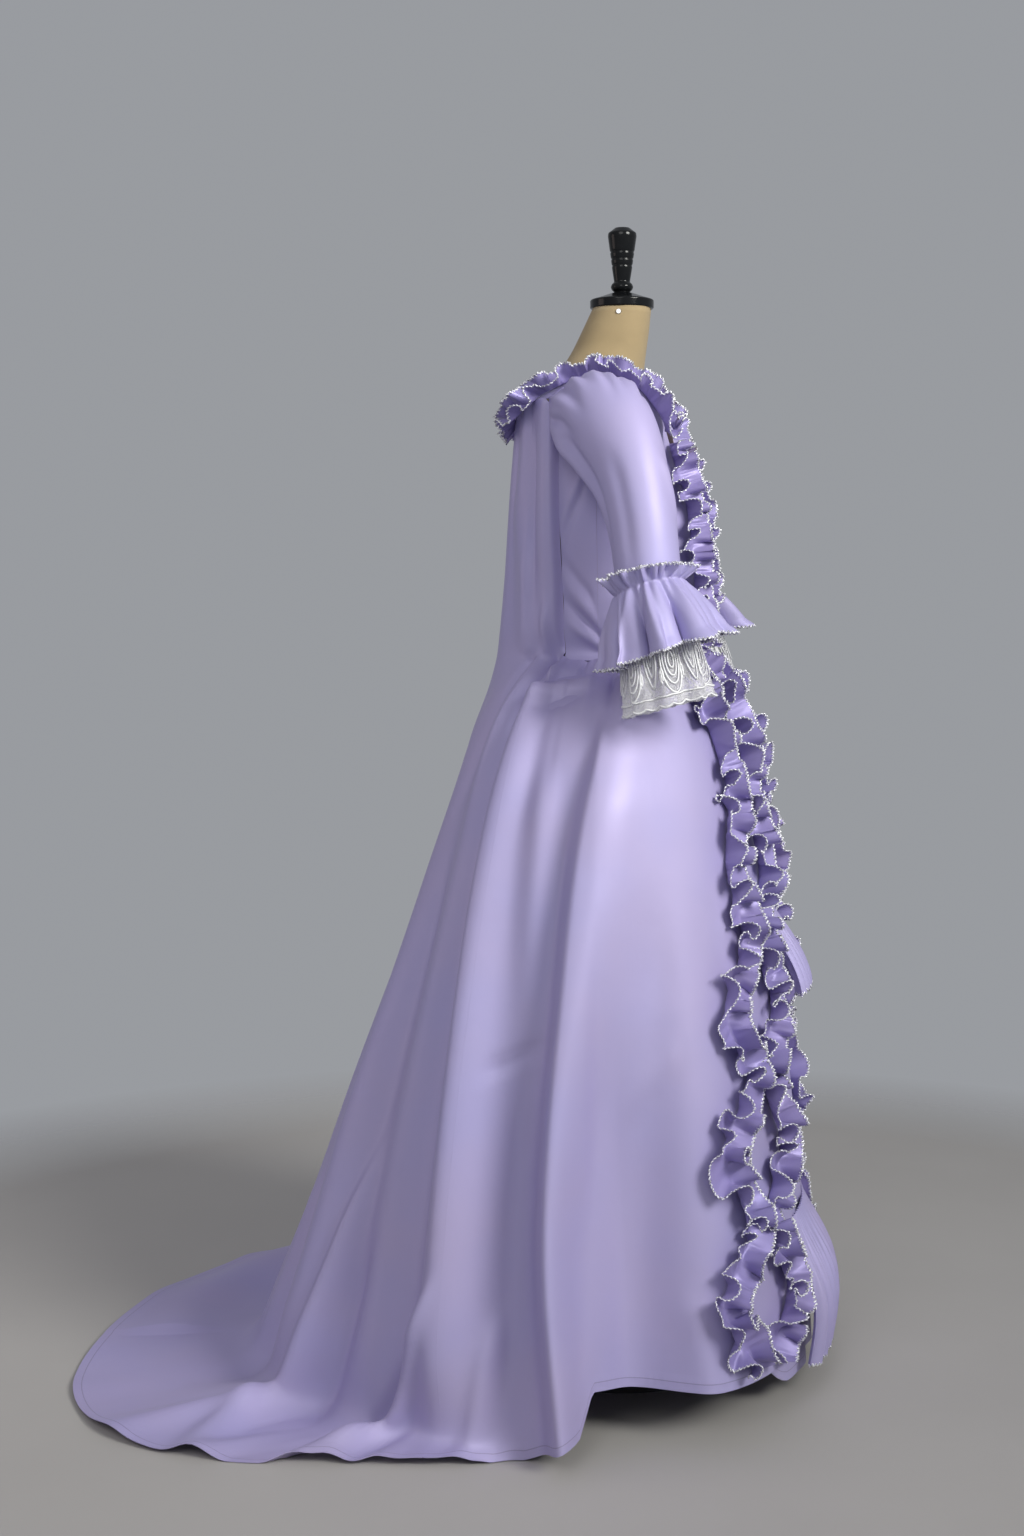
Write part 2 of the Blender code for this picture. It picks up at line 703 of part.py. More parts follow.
def ring(row, turn, grow=0.0):
    """A slanting oval round the arm, from one row of the sleeve's table."""
    outer_x, outer_z, inner_x, inner_z, middle_y, depth, rise = row
    x = (outer_x + inner_x) / 2 + ((outer_x - inner_x) / 2 + grow) * np.cos(turn)
    y = middle_y - (depth + grow) * np.sin(turn)
    z = (outer_z + inner_z) / 2 + (outer_z - inner_z) / 2 * np.cos(turn) + rise * np.sin(turn)
    return np.stack([x, y, z], axis=-1)


def mirrored_to(side, points):
    return points * (side, 1, 1)


def armhole():
    """The sleeve's top edge: over the strap, then down the bodice, just outside both."""
    strap = strap_edge(np.linspace(0, 1, 9)) + (ARMHOLE_LAP * 0.8, 0, ARMHOLE_LAP * 0.6)
    angles = np.linspace(67, 111, 12)
    low = neckline(angles) - 0.002
    under = around(body_radius(angles, low) + ARMHOLE_LAP, angles, low)
    loop = np.concatenate([strap[4::-1], under, strap[:3:-1]])
    length = np.concatenate([[0], np.cumsum(np.linalg.norm(np.diff(loop, axis=0), axis=1))])
    even = np.linspace(0, length[-1], SLEEVE_COLUMNS, endpoint=False)
    return np.stack([np.interp(even, length, loop[:, k]) for k in range(3)], axis=1)


def build_sleeve(side, word):
    turn = np.linspace(0, 2 * np.pi, SLEEVE_COLUMNS, endpoint=False)
    rings = [armhole()] + [ring(row, turn) for row in SLEEVE]
    wall(f"sleeve_{word}", mirrored_to(side, np.stack(rings)), CLOTH, SATIN, wrap=True)


CUFF_END = (0.3280, 1.0400, 0.2050, 1.0330, -0.0920, 0.0770, 0.024)
LACE_END = (0.3270, 0.9670, 0.2350, 0.9630, -0.0985, 0.0670, 0.015)
CUFF_WAVES = 8
CUFF_SEAM = 0.70
HEADER_RISE = 0.36
HEADER_LEAN = 0.014
HEADER_DEPTH = 0.006
FLOUNCE_DEPTH = 0.0085
LACE_DEPTH = 0.0064
LACE_DROP = 0.0007


def between(first, last, share):
    return tuple(a * (1 - share) + b * share for a, b in zip(first, last))


def build_cuff(side, word):
    """The satin ruffle, gathered just below its top edge, and the lace that hangs inside it."""
    clear = CLOTH / 2 + TRIM / 2 + TOUCH
    turn = np.linspace(0, 2 * np.pi, CUFF_WAVES * COLUMNS_A_WAVE, endpoint=False)
    wave = np.sin(turn * CUFF_WAVES + np.pi / 4)
    seam = between(SLEEVE[-2], SLEEVE[-1], CUFF_SEAM)
    header = between(SLEEVE[-2], SLEEVE[-1], CUFF_SEAM - HEADER_RISE)
    rings = [
        ring(header, turn, clear + HEADER_LEAN + HEADER_DEPTH * wave),
        ring(seam, turn, clear),
        ring(between(seam, CUFF_END, 0.4), turn, clear + 0.006 + 0.5 * FLOUNCE_DEPTH * wave),
        ring(CUFF_END, turn, clear + FLOUNCE_DEPTH * wave),
    ]
    wall(f"cuff_flounce_{word}", mirrored_to(side, np.stack(rings)), TRIM, SATIN_TRIM, wrap=True)
    top = tuple(a + b for a, b in zip(SLEEVE[-1], (0, -LACE_DROP, 0, -LACE_DROP, 0, 0, 0)))
    rings = [ring(top, turn), ring(LACE_END, turn, LACE_DEPTH * wave)]
    wall(f"cuff_lace_{word}", mirrored_to(side, np.stack(rings)), TRIM, LACE, wrap=True)


# Dress form

FORM_COLUMNS = 24
FORM_LEVELS = 17
FORM_SQUARENESS = 2.35


def form_heights():
    low = FORM_SECTIONS[0][0]
    return low + (FORM_SECTIONS[-1][0] - low) * np.linspace(0, 1, FORM_LEVELS) ** 0.85


def build_form_body():
    """The padded body: flat-bottomed, with sloping shoulders and a neck that leans forward."""
    z = form_heights()
    half, front, back = spline(z, column(FORM_SECTIONS, 0), np.array(FORM_SECTIONS)[:, 1:]).T
    turn = np.linspace(0, 2 * np.pi, FORM_COLUMNS, endpoint=False)
    power = 2 / FORM_SQUARENESS
    across = np.sign(np.sin(turn)) * np.abs(np.sin(turn)) ** power
    deep = -np.sign(np.cos(turn)) * np.abs(np.cos(turn)) ** power
    x = half[:, None] * across
    y = (front + back)[:, None] / 2 + (back - front)[:, None] / 2 * deep
    points = np.stack([x, y, z[:, None] + 0 * x], axis=-1)
    faces = grid_faces(*points.shape[:2], True).tolist()
    last = (FORM_LEVELS - 1) * FORM_COLUMNS
    faces.append(list(range(FORM_COLUMNS))[::-1])
    faces.append([last + k for k in range(FORM_COLUMNS)])
    mesh = bpy.data.meshes.new("form_body")
    mesh.from_pydata(points.reshape(-1, 3).tolist(), [], faces)
    body = bmesh.new()
    body.from_mesh(mesh)
    bmesh.ops.recalc_face_normals(body, faces=body.faces)
    body.to_mesh(mesh)
    body.free()
    add_object("form_body", mesh, LINEN)


CAP_PROFILE = (
    (0.0, 1.5330),
    (0.0170, 1.5330),
    (0.0300, 1.5285),
    (0.0440, 1.5240),
    (0.0450, 1.5225),
    (0.0450, 1.5130),
    (0.0440, 1.5120),
    (0.0, 1.5120),
)
FINIAL_PROFILE = (
    (0.0, 1.6270),
    (0.0105, 1.6240),
    (0.0198, 1.6170),
    (0.0203, 1.6125),
    (0.0174, 1.5920),
    (0.0158, 1.5908),
    (0.0170, 1.5890),
    (0.0160, 1.5822),
    (0.0145, 1.5810),
    (0.0157, 1.5794),
    (0.0148, 1.5730),
    (0.0134, 1.5718),
    (0.0145, 1.5700),
    (0.0112, 1.5490),
    (0.0145, 1.5460),
    (0.0160, 1.5420),
    (0.0145, 1.5380),
    (0.0110, 1.5350),
    (0.0110, 1.5333),
    (0.0, 1.5333),
)
FOOT_RADIUS = 0.170
FOOT_PROFILE = (
    (0.0, 0.0520),
    (0.0200, 0.0520),
    (0.0230, 0.0490),
    (0.0250, 0.0200),
    (0.1550, 0.0120),
    (FOOT_RADIUS, 0.0080),
    (FOOT_RADIUS, 0.0),
    (0.0, 0.0),
)
POLE_RADIUS = 0.0125
PIN_RADIUS = 0.0040
PIN_DEEP = 0.0014
PIN_Z = 1.5030


def build_form_fittings():
    """The neck cap, its turned finial, the foot, the pole and the pin in the neck."""
    turned("form_neck_cap", CAP_PROFILE, LACQUER, centre=(0, NECK_Y))
    turned("form_finial", FINIAL_PROFILE, LACQUER, steps=12, centre=(0, NECK_Y))
    turned("form_foot", FOOT_PROFILE, ENAMEL, steps=28)
    bottom = FOOT_PROFILE[0][1] + 0.0003
    top = FORM_SECTIONS[0][0] - 0.0003
    pole = ((0.0, top), (POLE_RADIUS, top), (POLE_RADIUS, bottom), (0.0, bottom))
    turned("form_pole", pole, METAL, steps=16)
    build_pin()


def build_pin():
    """A round steel pin head on the right side of the neck, square to the cloth and just clear of it."""
    z = form_heights()[-2:]
    half = spline(z, column(FORM_SECTIONS, 0), column(FORM_SECTIONS, 1))
    tilt = np.arctan2(half[0] - half[1], z[1] - z[0])
    share = (PIN_Z - z[0]) / (z[1] - z[0])
    clear = PIN_DEEP / 2 + 0.0003
    mesh = bpy.data.meshes.new("form_pin")
    pin = bmesh.new()
    bmesh.ops.create_cone(
        pin, cap_ends=True, segments=10, radius1=PIN_RADIUS, radius2=PIN_RADIUS * 0.8, depth=PIN_DEEP
    )
    pin.to_mesh(mesh)
    pin.free()
    made = add_object(mesh.name, mesh, METAL)
    made.rotation_euler = (0, tilt - np.pi / 2, 0)
    x = half[0] + (half[1] - half[0]) * share + clear * np.cos(tilt)
    made.location = (-x, NECK_Y, PIN_Z + clear * np.sin(tilt))


# The whole

for old in list(bpy.data.objects):
    bpy.data.objects.remove(old)
GOWN = bpy.data.collections.new("ball_gown_on_form")
bpy.context.scene.collection.children.link(GOWN)
SATIN = material("lilac_satin", LILAC, 0.38)
SATIN_TRIM = material("lilac_satin_trim", LILAC, 0.34)
LACE = material("white_lace", LACE_WHITE, 0.75)
LINEN = material("linen_cover", FORM_COLOUR, 0.85)
LACQUER = material("black_lacquer", BLACK, 0.25)
METAL = material("steel", STEEL, 0.35, 1.0)
ENAMEL = material("black_enamel", BLACK, 0.35)

build_form_body()
build_form_fittings()
build_stomacher()
build_petticoat()
for flounce in FLOUNCES:
    build_flounce(*flounce)
wall("sack_back", sack_grid(), CLOTH, SATIN)
for side_sign, side_word in ((1, "left"), (-1, "right")):
    build_bodice(side_sign, side_word)
    build_strap(side_sign, side_word)
    build_sleeve(side_sign, side_word)
    build_cuff(side_sign, side_word)
    build_robing(side_sign, side_word)
    skirt, skirt_angles, skirt_shares = overskirt_grid(side_sign)
    wall(f"overskirt_{side_word}", skirt, CLOTH, SATIN)
    build_skirt_trim(side_sign, side_word, skirt, skirt_angles, skirt_shares)
build_neck_ruffle()
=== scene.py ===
"""The looks of a sack-back ball gown on a dress form, laid out as an add-on.

Every piece of cloth is a thin shell on the form of its solid, with finer folds, gathers and
trimming. Metres, +Z up. The gown faces -Y and the wearer's left is +X. Angles run round the
body in degrees, from the front (0) to the back (180). Side is +1 for the wearer's left.
"""

import bpy
import numpy as np
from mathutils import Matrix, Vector


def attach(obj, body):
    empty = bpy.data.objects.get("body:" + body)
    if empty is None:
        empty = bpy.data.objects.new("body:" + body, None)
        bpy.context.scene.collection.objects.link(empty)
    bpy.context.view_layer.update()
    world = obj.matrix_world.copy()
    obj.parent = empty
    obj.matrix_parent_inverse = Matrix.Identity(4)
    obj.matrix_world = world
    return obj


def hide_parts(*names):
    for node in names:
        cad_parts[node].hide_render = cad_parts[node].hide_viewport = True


bl_info = {
    "name": "Sack-back ball gown",
    "version": (1, 0, 0),
    "blender": (4, 5, 0),
    "location": "View3D > Sidebar > Gown",
    "description": "Dresses a form in a sack-back gown of lilac satin with silver-edged ruffles",
    "category": "Object",
}

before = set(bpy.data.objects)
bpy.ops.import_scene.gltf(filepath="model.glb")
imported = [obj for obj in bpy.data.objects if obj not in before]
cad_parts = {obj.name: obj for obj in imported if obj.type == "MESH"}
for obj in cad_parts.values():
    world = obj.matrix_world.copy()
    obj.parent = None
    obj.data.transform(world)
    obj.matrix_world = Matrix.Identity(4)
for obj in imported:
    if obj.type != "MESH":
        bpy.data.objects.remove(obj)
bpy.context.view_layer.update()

# Cloth

CLOTH = 0.0020
TRIM = 0.0016
SEAM = 0.0006
TOUCH = 0.0004

# Body of the gown: the outer face from shoulder to floor, as radii about an upright axis

AXIS_Y = 0.020
WAIST_Z = 1.020
BODY_ANGLES = (0, 30, 60, 90, 112, 130, 150, 180)
BODY = (
    # z, then the radius at each of BODY_ANGLES
    (0.000, 0.316, 0.335, 0.385, 0.420, 0.430, 0.450, 0.481, 0.508),
    (0.080, 0.310, 0.328, 0.377, 0.411, 0.418, 0.433, 0.453, 0.470),
    (0.200, 0.300, 0.317, 0.364, 0.396, 0.399, 0.405, 0.414, 0.420),
    (0.400, 0.280, 0.296, 0.340, 0.370, 0.367, 0.361, 0.355, 0.350),
    (0.600, 0.256, 0.271, 0.310, 0.338, 0.328, 0.311, 0.293, 0.282),
    (0.760, 0.232, 0.246, 0.282, 0.307, 0.292, 0.268, 0.245, 0.231),
    (0.860, 0.213, 0.225, 0.258, 0.280, 0.263, 0.237, 0.213, 0.200),
    (0.930, 0.195, 0.204, 0.228, 0.244, 0.231, 0.210, 0.191, 0.180),
    (0.980, 0.170, 0.175, 0.187, 0.194, 0.189, 0.179, 0.169, 0.163),
    (1.020, 0.140, 0.139, 0.126, 0.117, 0.126, 0.142, 0.154, 0.154),
    (1.060, 0.140, 0.139, 0.127, 0.118, 0.126, 0.141, 0.151, 0.149),
    (1.120, 0.141, 0.141, 0.132, 0.124, 0.130, 0.140, 0.147, 0.143),
    (1.190, 0.138, 0.139, 0.138, 0.135, 0.138, 0.142, 0.143, 0.137),
    (1.250, 0.127, 0.131, 0.138, 0.141, 0.141, 0.141, 0.138, 0.131),
    (1.310, 0.105, 0.110, 0.132, 0.144, 0.141, 0.139, 0.132, 0.125),
    (1.390, 0.080, 0.092, 0.124, 0.142, 0.139, 0.137, 0.126, 0.117),
)
SACK_ANGLE = 112.0

# Hem: how high it hangs, and how far the train reaches along the floor

HEM_LIFT = (
    # angle, height
    (0, 0.068),
    (60, 0.072),
    (86.6, 0.088),
    (87.6, 0.036),
    (92, 0.020),
    (98, 0.0),
    (180, 0.0),
)
TRAIN_REACH = (
    # angle, distance from the axis
    (0, 0.0),
    (96, 0.410),
    (108, 0.470),
    (122, 0.545),
    (135, 0.640),
    (146, 0.705),
    (160, 0.745),
    (180, 0.745),
)
TRAIN_SWEEP = 0.060
FLOOR_BEND = 0.13

# Folds of the skirt, the same on both sides

FOLD_SHARES = (0.0, 0.25, 0.5, 0.75, 1.0)
FOLDS = (
    # each ridge at FOLD_SHARES of the length: its angle, height in mm, and width in front and behind
    ((52, 58, 64, 64, 62), (2, 5, 10, 11, 10), (14, 14, 14, 13, 12), (12, 12, 12, 10, 10)),
    ((66, 77, 81, 80, 78), (0, 12, 4, -34, -52), (16, 16, 14, 13, 12), (12, 10, 8, 7.5, 7.5)),
    ((74, 88, 92.2, 93.6, 90.4), (4, 26, 48, 58, 56), (10, 11, 8, 3.8, 2.6), (3.4, 2.8, 2.5, 2.5, 2.6)),
    ((112, 115.5, 114.6, 113.8, 112.6), (4, 30, 50, 54, 38), (7, 8, 7, 6.2, 6), (3.8, 3.4, 3.6, 4.6, 5.5)),
    ((129, 131, 131, 130, 128), (2, 6, 12, 13, 10), (4, 4, 5, 5, 5), (4, 4, 5, 5, 5)),
    ((146, 150, 150, 150, 149), (4, 18, 34, 35, 30), (8, 8, 8, 8, 8), (8, 7, 7, 8, 9)),
    ((180, 180, 180, 180, 180), (3, 6, 11, 11, 11), (12, 10, 10, 10, 12), (12, 10, 10, 10, 12)),
)
FLOOR_FOLD = 0.70
HEM_FOLD = 0.42

# Front edge of the gown, where the stomacher and the petticoat show

OPENING = (
    # z, angle of the edge
    (0.00, 28),
    (0.40, 25),
    (0.80, 19),
    (1.02, 17),
    (1.10, 18),
    (1.20, 22),
    (1.32, 30),
)

# Dress form

FORM_SECTIONS = (
    # z, half width, front y, back y
    (0.800, 0.148, -0.082, 0.112),
    (0.870, 0.156, -0.088, 0.120),
    (0.940, 0.136, -0.092, 0.104),
    (1.020, 0.104, -0.100, 0.086),
    (1.100, 0.110, -0.104, 0.092),
    (1.190, 0.126, -0.104, 0.104),
    (1.250, 0.131, -0.092, 0.110),
    (1.310, 0.135, -0.070, 0.113),
    (1.350, 0.132, -0.052, 0.110),
    (1.380, 0.124, -0.038, 0.106),
    (1.400, 0.112, -0.032, 0.100),
    (1.420, 0.078, -0.030, 0.090),
    (1.450, 0.052, -0.033, 0.072),
    (1.480, 0.047, -0.037, 0.057),
    (1.5117, 0.0425, -0.0400, 0.0420),
)
NECK_Y = 0.001

# Curves and tables


def hermite(t, step, first, last, slope_first, slope_last):
    """Cubic from first to last over a step, with its slopes at both ends."""
    held = (2 * t**3 - 3 * t**2 + 1) * first + (3 * t**2 - 2 * t**3) * last
    return held + step * ((t**3 - 2 * t**2 + t) * slope_first + (t**3 - t**2) * slope_last)


def spline(x, xs, ys):
    """Cubic through the points (xs, ys), each slope that of its neighbours; ys may have columns."""
    x, xs, ys = (np.asarray(values, float) for values in (x, xs, ys))
    slopes = np.gradient(ys, xs, axis=0)
    i = np.clip(np.searchsorted(xs, x) - 1, 0, len(xs) - 2)
    step = xs[i + 1] - xs[i]
    t = (x - xs[i]) / step
    if ys.ndim > 1:
        step = step[..., None]
        t = t[..., None]
    return hermite(t, step, ys[i], ys[i + 1], slopes[i], slopes[i + 1])


def smooth_step(x, low, high):
    t = np.clip((np.asarray(x, float) - low) / (high - low), 0, 1)
    return t * t * (3 - 2 * t)


def column(table, index):
    return np.array([row[index] for row in table], float)


def straight(table, x):
    """Second column of a table at x of the first, in straight lines."""
    return np.interp(x, column(table, 0), column(table, 1))


def curved(table, x):
    """Second column of a table at x of the first, as a smooth curve."""
    return spline(x, column(table, 0), column(table, 1))


def unit(vectors):
    return vectors / np.linalg.norm(vectors, axis=-1, keepdims=True)


def reach(line):
    """Distance along a line of points to each of them."""
    return np.concatenate([[0], np.cumsum(np.linalg.norm(np.diff(line, axis=0), axis=1))])


def read_at(at, length, values):
    """Every column of values, which are given at these lengths, read at others."""
    return np.stack([np.interp(at, length, row) for row in values.T], axis=1)


def body_radius(angle, z):
    """Outer radius of the gown at these angles and heights, level across the front and back lines."""
    shape = np.broadcast(angle, z).shape
    angle = np.broadcast_to(np.abs(angle), shape).ravel()
    z = np.broadcast_to(z, shape).ravel()
    rows = spline(z, column(BODY, 0), np.array(BODY)[:, 1:])
    places = np.array(BODY_ANGLES, float)
    slopes = np.gradient(rows, places, axis=1)
    slopes[:, [0, -1]] = 0
    i = np.clip(np.searchsorted(places, angle) - 1, 0, len(places) - 2)
    step = places[i + 1] - places[i]
    pick = np.arange(len(i))
    ends = rows[pick, i], rows[pick, i + 1], slopes[pick, i], slopes[pick, i + 1]
    return hermite((angle - places[i]) / step, step, *ends).reshape(shape)


def around(radius, angle, z):
    """Points at these radii and angles about the body's axis."""
    turn = np.radians(angle)
    return np.stack([radius * np.sin(turn), AXIS_Y - radius * np.cos(turn), z + 0 * radius], axis=-1)


def opening_angle(z):
    return curved(OPENING, z)


# Large form of the skirt

MERIDIAN_POINTS = 120
MERIDIAN_STEP = 2.0
DROP_STEPS = 90
RUN_STEPS = 60
TRAIN_STARTS = 96


def meridian(angle):
    """Radius and height down the skirt at one angle: the drop, a soft bend and the run along the floor."""
    lowest = max(float(straight(HEM_LIFT, angle)), CLOTH * 0.55)
    z = np.linspace(WAIST_Z, lowest, DROP_STEPS)
    radius = body_radius(angle, z)
    far = float(curved(TRAIN_REACH, angle)) if angle > TRAIN_STARTS else 0.0
    run = np.linspace(radius[-1], far, RUN_STEPS)[1:] if far > radius[-1] + CLOTH else np.empty(0)
    line = np.stack([np.append(radius, run), np.append(z, np.full(len(run), lowest))], axis=1)
    along = reach(line)
    line = read_at(np.linspace(0, along[-1], MERIDIAN_POINTS), along, line)
    half = int(FLOOR_BEND / along[-1] * MERIDIAN_POINTS / 2)
    if len(run):
        before = 2 * line[0] - line[half:0:-1]
        after = 2 * line[-1] - line[-2 : -half - 2 : -1]
        padded = np.concatenate([before, line, after])
        window = np.hanning(2 * half + 3)[1:-1]
        window /= window.sum()
        line = np.stack([np.convolve(padded[:, k], window, "valid") for k in (0, 1)], axis=1)
    return line


MERIDIANS = np.array([meridian(angle) for angle in np.arange(0.0, 180.1, MERIDIAN_STEP)])


def fold_height(angle, share, z, run):
    """How far the folds stand out: each ridge a bell that is steeper behind than in front."""
    height = np.zeros(np.broadcast(angle, share).shape)
    for ridge in FOLDS:
        place, tall, fore, aft = (spline(share, FOLD_SHARES, row) for row in ridge)
        for crest in (place, 360 - place) if ridge[0][0] == 180 else (place,):
            off = angle - crest
            height += tall / 1000 * np.exp(-(np.abs(off / np.where(off < 0, fore, aft)) ** 2))
    laid = 1 - (1 - FLOOR_FOLD) * (1 - smooth_step(z, 0.0, 0.12)) * run
    laid = laid * (1 - (1 - HEM_FOLD) * smooth_step(share, 0.80, 1.0) * run)
    return height * laid * smooth_step(share, 0.0, 0.10)


def skirt_points(side, size, share, inset):
    """Points of the skirt at these angles, 0 to 180, and shares of its length, folds included.

    Inset moves them inwards along the surface's own normal.
    """
    i = np.clip((size / MERIDIAN_STEP).astype(int), 0, len(MERIDIANS) - 2)
    weight = (size / MERIDIAN_STEP - i)[..., None]
    spot = share * (MERIDIAN_POINTS - 1)
    k = np.clip(spot.astype(int), 0, MERIDIAN_POINTS - 2)
    part = (spot - k)[..., None]
    before = np.maximum(k - 1, 0)
    after = np.minimum(k + 2, MERIDIAN_POINTS - 1)

    def at(row):
        return MERIDIANS[row, k] * (1 - part) + MERIDIANS[row, k + 1] * part

    def slope(row):
        return MERIDIANS[row, after] - MERIDIANS[row, before]

    place = at(i) * (1 - weight) + at(i + 1) * weight
    tangent = unit(slope(i) * (1 - weight) + slope(i + 1) * weight)
    out = fold_height(size, share, place[..., 1], smooth_step(size, 90, 106)) - inset
    points = around(place[..., 0] - tangent[..., 1] * out, side * size, place[..., 1] + tangent[..., 0] * out)
    points[..., 0] -= TRAIN_SWEEP * smooth_step(points[..., 1], 0.25, 0.75)
    return points


# Meshes


def grid_faces(rows, columns, wrap):
    """Quads between neighbours of a grid stored row by row, then the same for its unwrapped UVs."""
    j, i = np.meshgrid(np.arange(rows - 1), np.arange(columns if wrap else columns - 1), indexing="ij")
    right = (i + 1) % columns
    wide = columns + 1 if wrap else columns
    corners = (j * columns + i, j * columns + right, (j + 1) * columns + right, (j + 1) * columns + i)
    marks = (j * wide + i, j * wide + i + 1, (j + 1) * wide + i + 1, (j + 1) * wide + i)
    return np.stack(corners, axis=-1).reshape(-1, 4), np.stack(marks, axis=-1).reshape(-1, 4)


def spans(points, wrap):
    """Lengths of a grid's steps along its rows and down its columns."""
    closed = np.concatenate([points, points[:, :1]], axis=1) if wrap else points
    across = np.linalg.norm(np.diff(closed, axis=1), axis=2)
    down = np.linalg.norm(np.diff(closed, axis=0), axis=2)
    return across, down


def cloth_marks(points, wrap):
    """UV of a grid in metres: along its rows from their start, and up its columns from the last row."""
    across, down = spans(points, wrap)
    u = np.concatenate([np.zeros((len(across), 1)), np.cumsum(across, axis=1)], axis=1)
    v = np.concatenate([np.cumsum(down[::-1], axis=0)[::-1], np.zeros((1, down.shape[1]))])
    return np.stack([u, v], axis=-1)


def mesh_of(name, points, corners, marks=None):
    """A mesh of quads, smooth up to its sharp rim, with the UVs of its corners if they are given."""
    mesh = bpy.data.meshes.new(name)
    mesh.vertices.add(len(points))
    mesh.vertices.foreach_set("co", points.astype(np.float32).ravel())
    mesh.loops.add(corners.size)
    mesh.loops.foreach_set("vertex_index", corners.astype(np.int32).ravel())
    mesh.polygons.add(len(corners))
    mesh.polygons.foreach_set("loop_start", np.arange(0, corners.size, 4, dtype=np.int32))
    mesh.update(calc_edges=True)
    if marks is not None:
        layer = mesh.uv_layers.new(name="cloth")
        layer.data.foreach_set("uv", marks.astype(np.float32).ravel())
    mesh.shade_smooth()
    sides = np.zeros(len(mesh.loops), dtype=np.int32)
    mesh.loops.foreach_get("edge_index", sides)
    rim = np.bincount(sides, minlength=len(mesh.edges)) == 1
    mesh.attributes.new("sharp_edge", "BOOLEAN", "EDGE").data.foreach_set("value", rim)
    return mesh


def add_piece(name, mesh, finish, nodes=()):
    """Links a finished piece, gives it its material and hides the solids it stands in for."""
    made = bpy.data.objects.new(name, mesh)
    made.data.materials.append(finish)
    bpy.context.scene.collection.objects.link(made)
    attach(made, "root")
    if nodes:
        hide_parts(*nodes)
    return made


def add_cloth(name, points, thickness, finish, wrap=False, nodes=()):
    """A sheet of cloth through a grid of points, given its thickness half to each side."""
    corners, uv_corners = grid_faces(*points.shape[:2], wrap)
    marks = cloth_marks(points, wrap).reshape(-1, 2)[uv_corners.ravel()]
    mesh = mesh_of(name, points.reshape(-1, 3), corners, marks)
    made = add_piece(name, mesh, finish, nodes)
    solid = made.modifiers.new("thickness", "SOLIDIFY")
    solid.thickness = thickness
    solid.offset = 0
    return made


def thread(centre, side, face, wide, deep):
    """A four-sided cord along a line: its points, and its faces with both ends closed."""
    ways = (side * wide, face * deep, -side * wide, -face * deep)
    ring = np.stack([centre + way for way in ways], axis=1)
    corners, _ = grid_faces(len(centre), 4, True)
    last = 4 * (len(centre) - 1)
    ends = np.array([[3, 2, 1, 0], [last, last + 1, last + 2, last + 3]])
    return ring.reshape(-1, 3), np.concatenate([corners, ends])


def joined(parts):
    """Several lots of points and faces as one."""
    starts = np.cumsum([0] + [len(points) for points, _ in parts[:-1]])
    points = np.concatenate([points for points, _ in parts])
    corners = np.concatenate([faces + start for (_, faces), start in zip(parts, starts)])
    return points, corners


# Silver braid

BRAID_STEP = 0.0015
BRAID_PITCH = 0.0056
BRAID_SWING = 0.0021
BRAID_WIDE = 0.00145
BRAID_DEEP = 0.0009


def braid_cord(edge, inside, closed=False):
    """A zigzag cord along an edge of cloth, swinging by BRAID_SWING to both sides of it.

    Inside is the row of cloth next to the edge, which says which way the cloth lies.
    """
    if closed:
        edge = np.concatenate([edge, edge[:1]])
        inside = np.concatenate([inside, inside[:1]])
    length = reach(edge)
    at = np.linspace(0, length[-1], int(length[-1] / BRAID_STEP) + 1)
    line = read_at(at, length, edge)
    outward = line - read_at(at, length, inside)
    along = unit(np.gradient(line, axis=0))
    outward = unit(outward - along * np.sum(outward * along, axis=1, keepdims=True))
    face = unit(np.cross(along, outward))
    swing = np.sin(2 * np.pi * at / BRAID_PITCH)[:, None]
    centre = line + outward * (BRAID_SWING * swing) + face * (BRAID_DEEP * np.roll(swing, 1, axis=0) * 0.6)
    run = unit(np.gradient(centre, axis=0))
    side = unit(np.cross(face, run))
    return thread(centre, side, face, BRAID_WIDE, BRAID_DEEP)


def add_braid(name, cords):
    points, corners = joined(cords)
    return add_piece(name, mesh_of(name, points, corners), silver_braid())


# Creases


def creases(table, turn, along, lean=1.0):
    """Sum of soft ridges and troughs, one a row of the table, with their heights in mm.

    Each follows a straight line from (place, start) to (place, end), is a bell across it and
    fades in and out along it. Widths are in the units of turn.
    """
    total = np.zeros(np.broadcast(turn, along).shape)
    for first, last, start, end, tall, wide_first, wide_last in table:
        share = np.clip((along - start) / (end - start), 0, 1)
        off = turn - (first + (last - first) * share)
        width = wide_first + (wide_last - wide_first) * share
        fade = smooth_step(share, 0, 0.22) if start > 0 else 1.0
        bell = np.exp(-((off / width) ** 2))
        total += lean * tall / 1000 * fade * (1 - smooth_step(share, 0.45, 1)) * bell
    return total


def surface_normals(points, wrap=False):
    """Unit normals of a grid of points, from the differences along its rows and columns."""
    if wrap:
        padded = np.concatenate([points[:, -1:], points, points[:, :1]], axis=1)
        across = np.gradient(padded, axis=1)[:, 1:-1]
    else:
        across = np.gradient(points, axis=1)
    return unit(np.cross(across, np.gradient(points, axis=0)))


def on_grid(values, u, v):
    """Values of a grid at columns u and rows v, straight between its points."""
    i = np.clip(u.astype(int), 0, values.shape[1] - 2)
    j = np.clip(v.astype(int), 0, values.shape[0] - 2)
    a = (u - i)[:, None]
    b = (v - j)[:, None]
    near = values[j, i] * (1 - a) + values[j, i + 1] * a
    far = values[j + 1, i] * (1 - a) + values[j + 1, i + 1] * a
    return near * (1 - b) + far * b


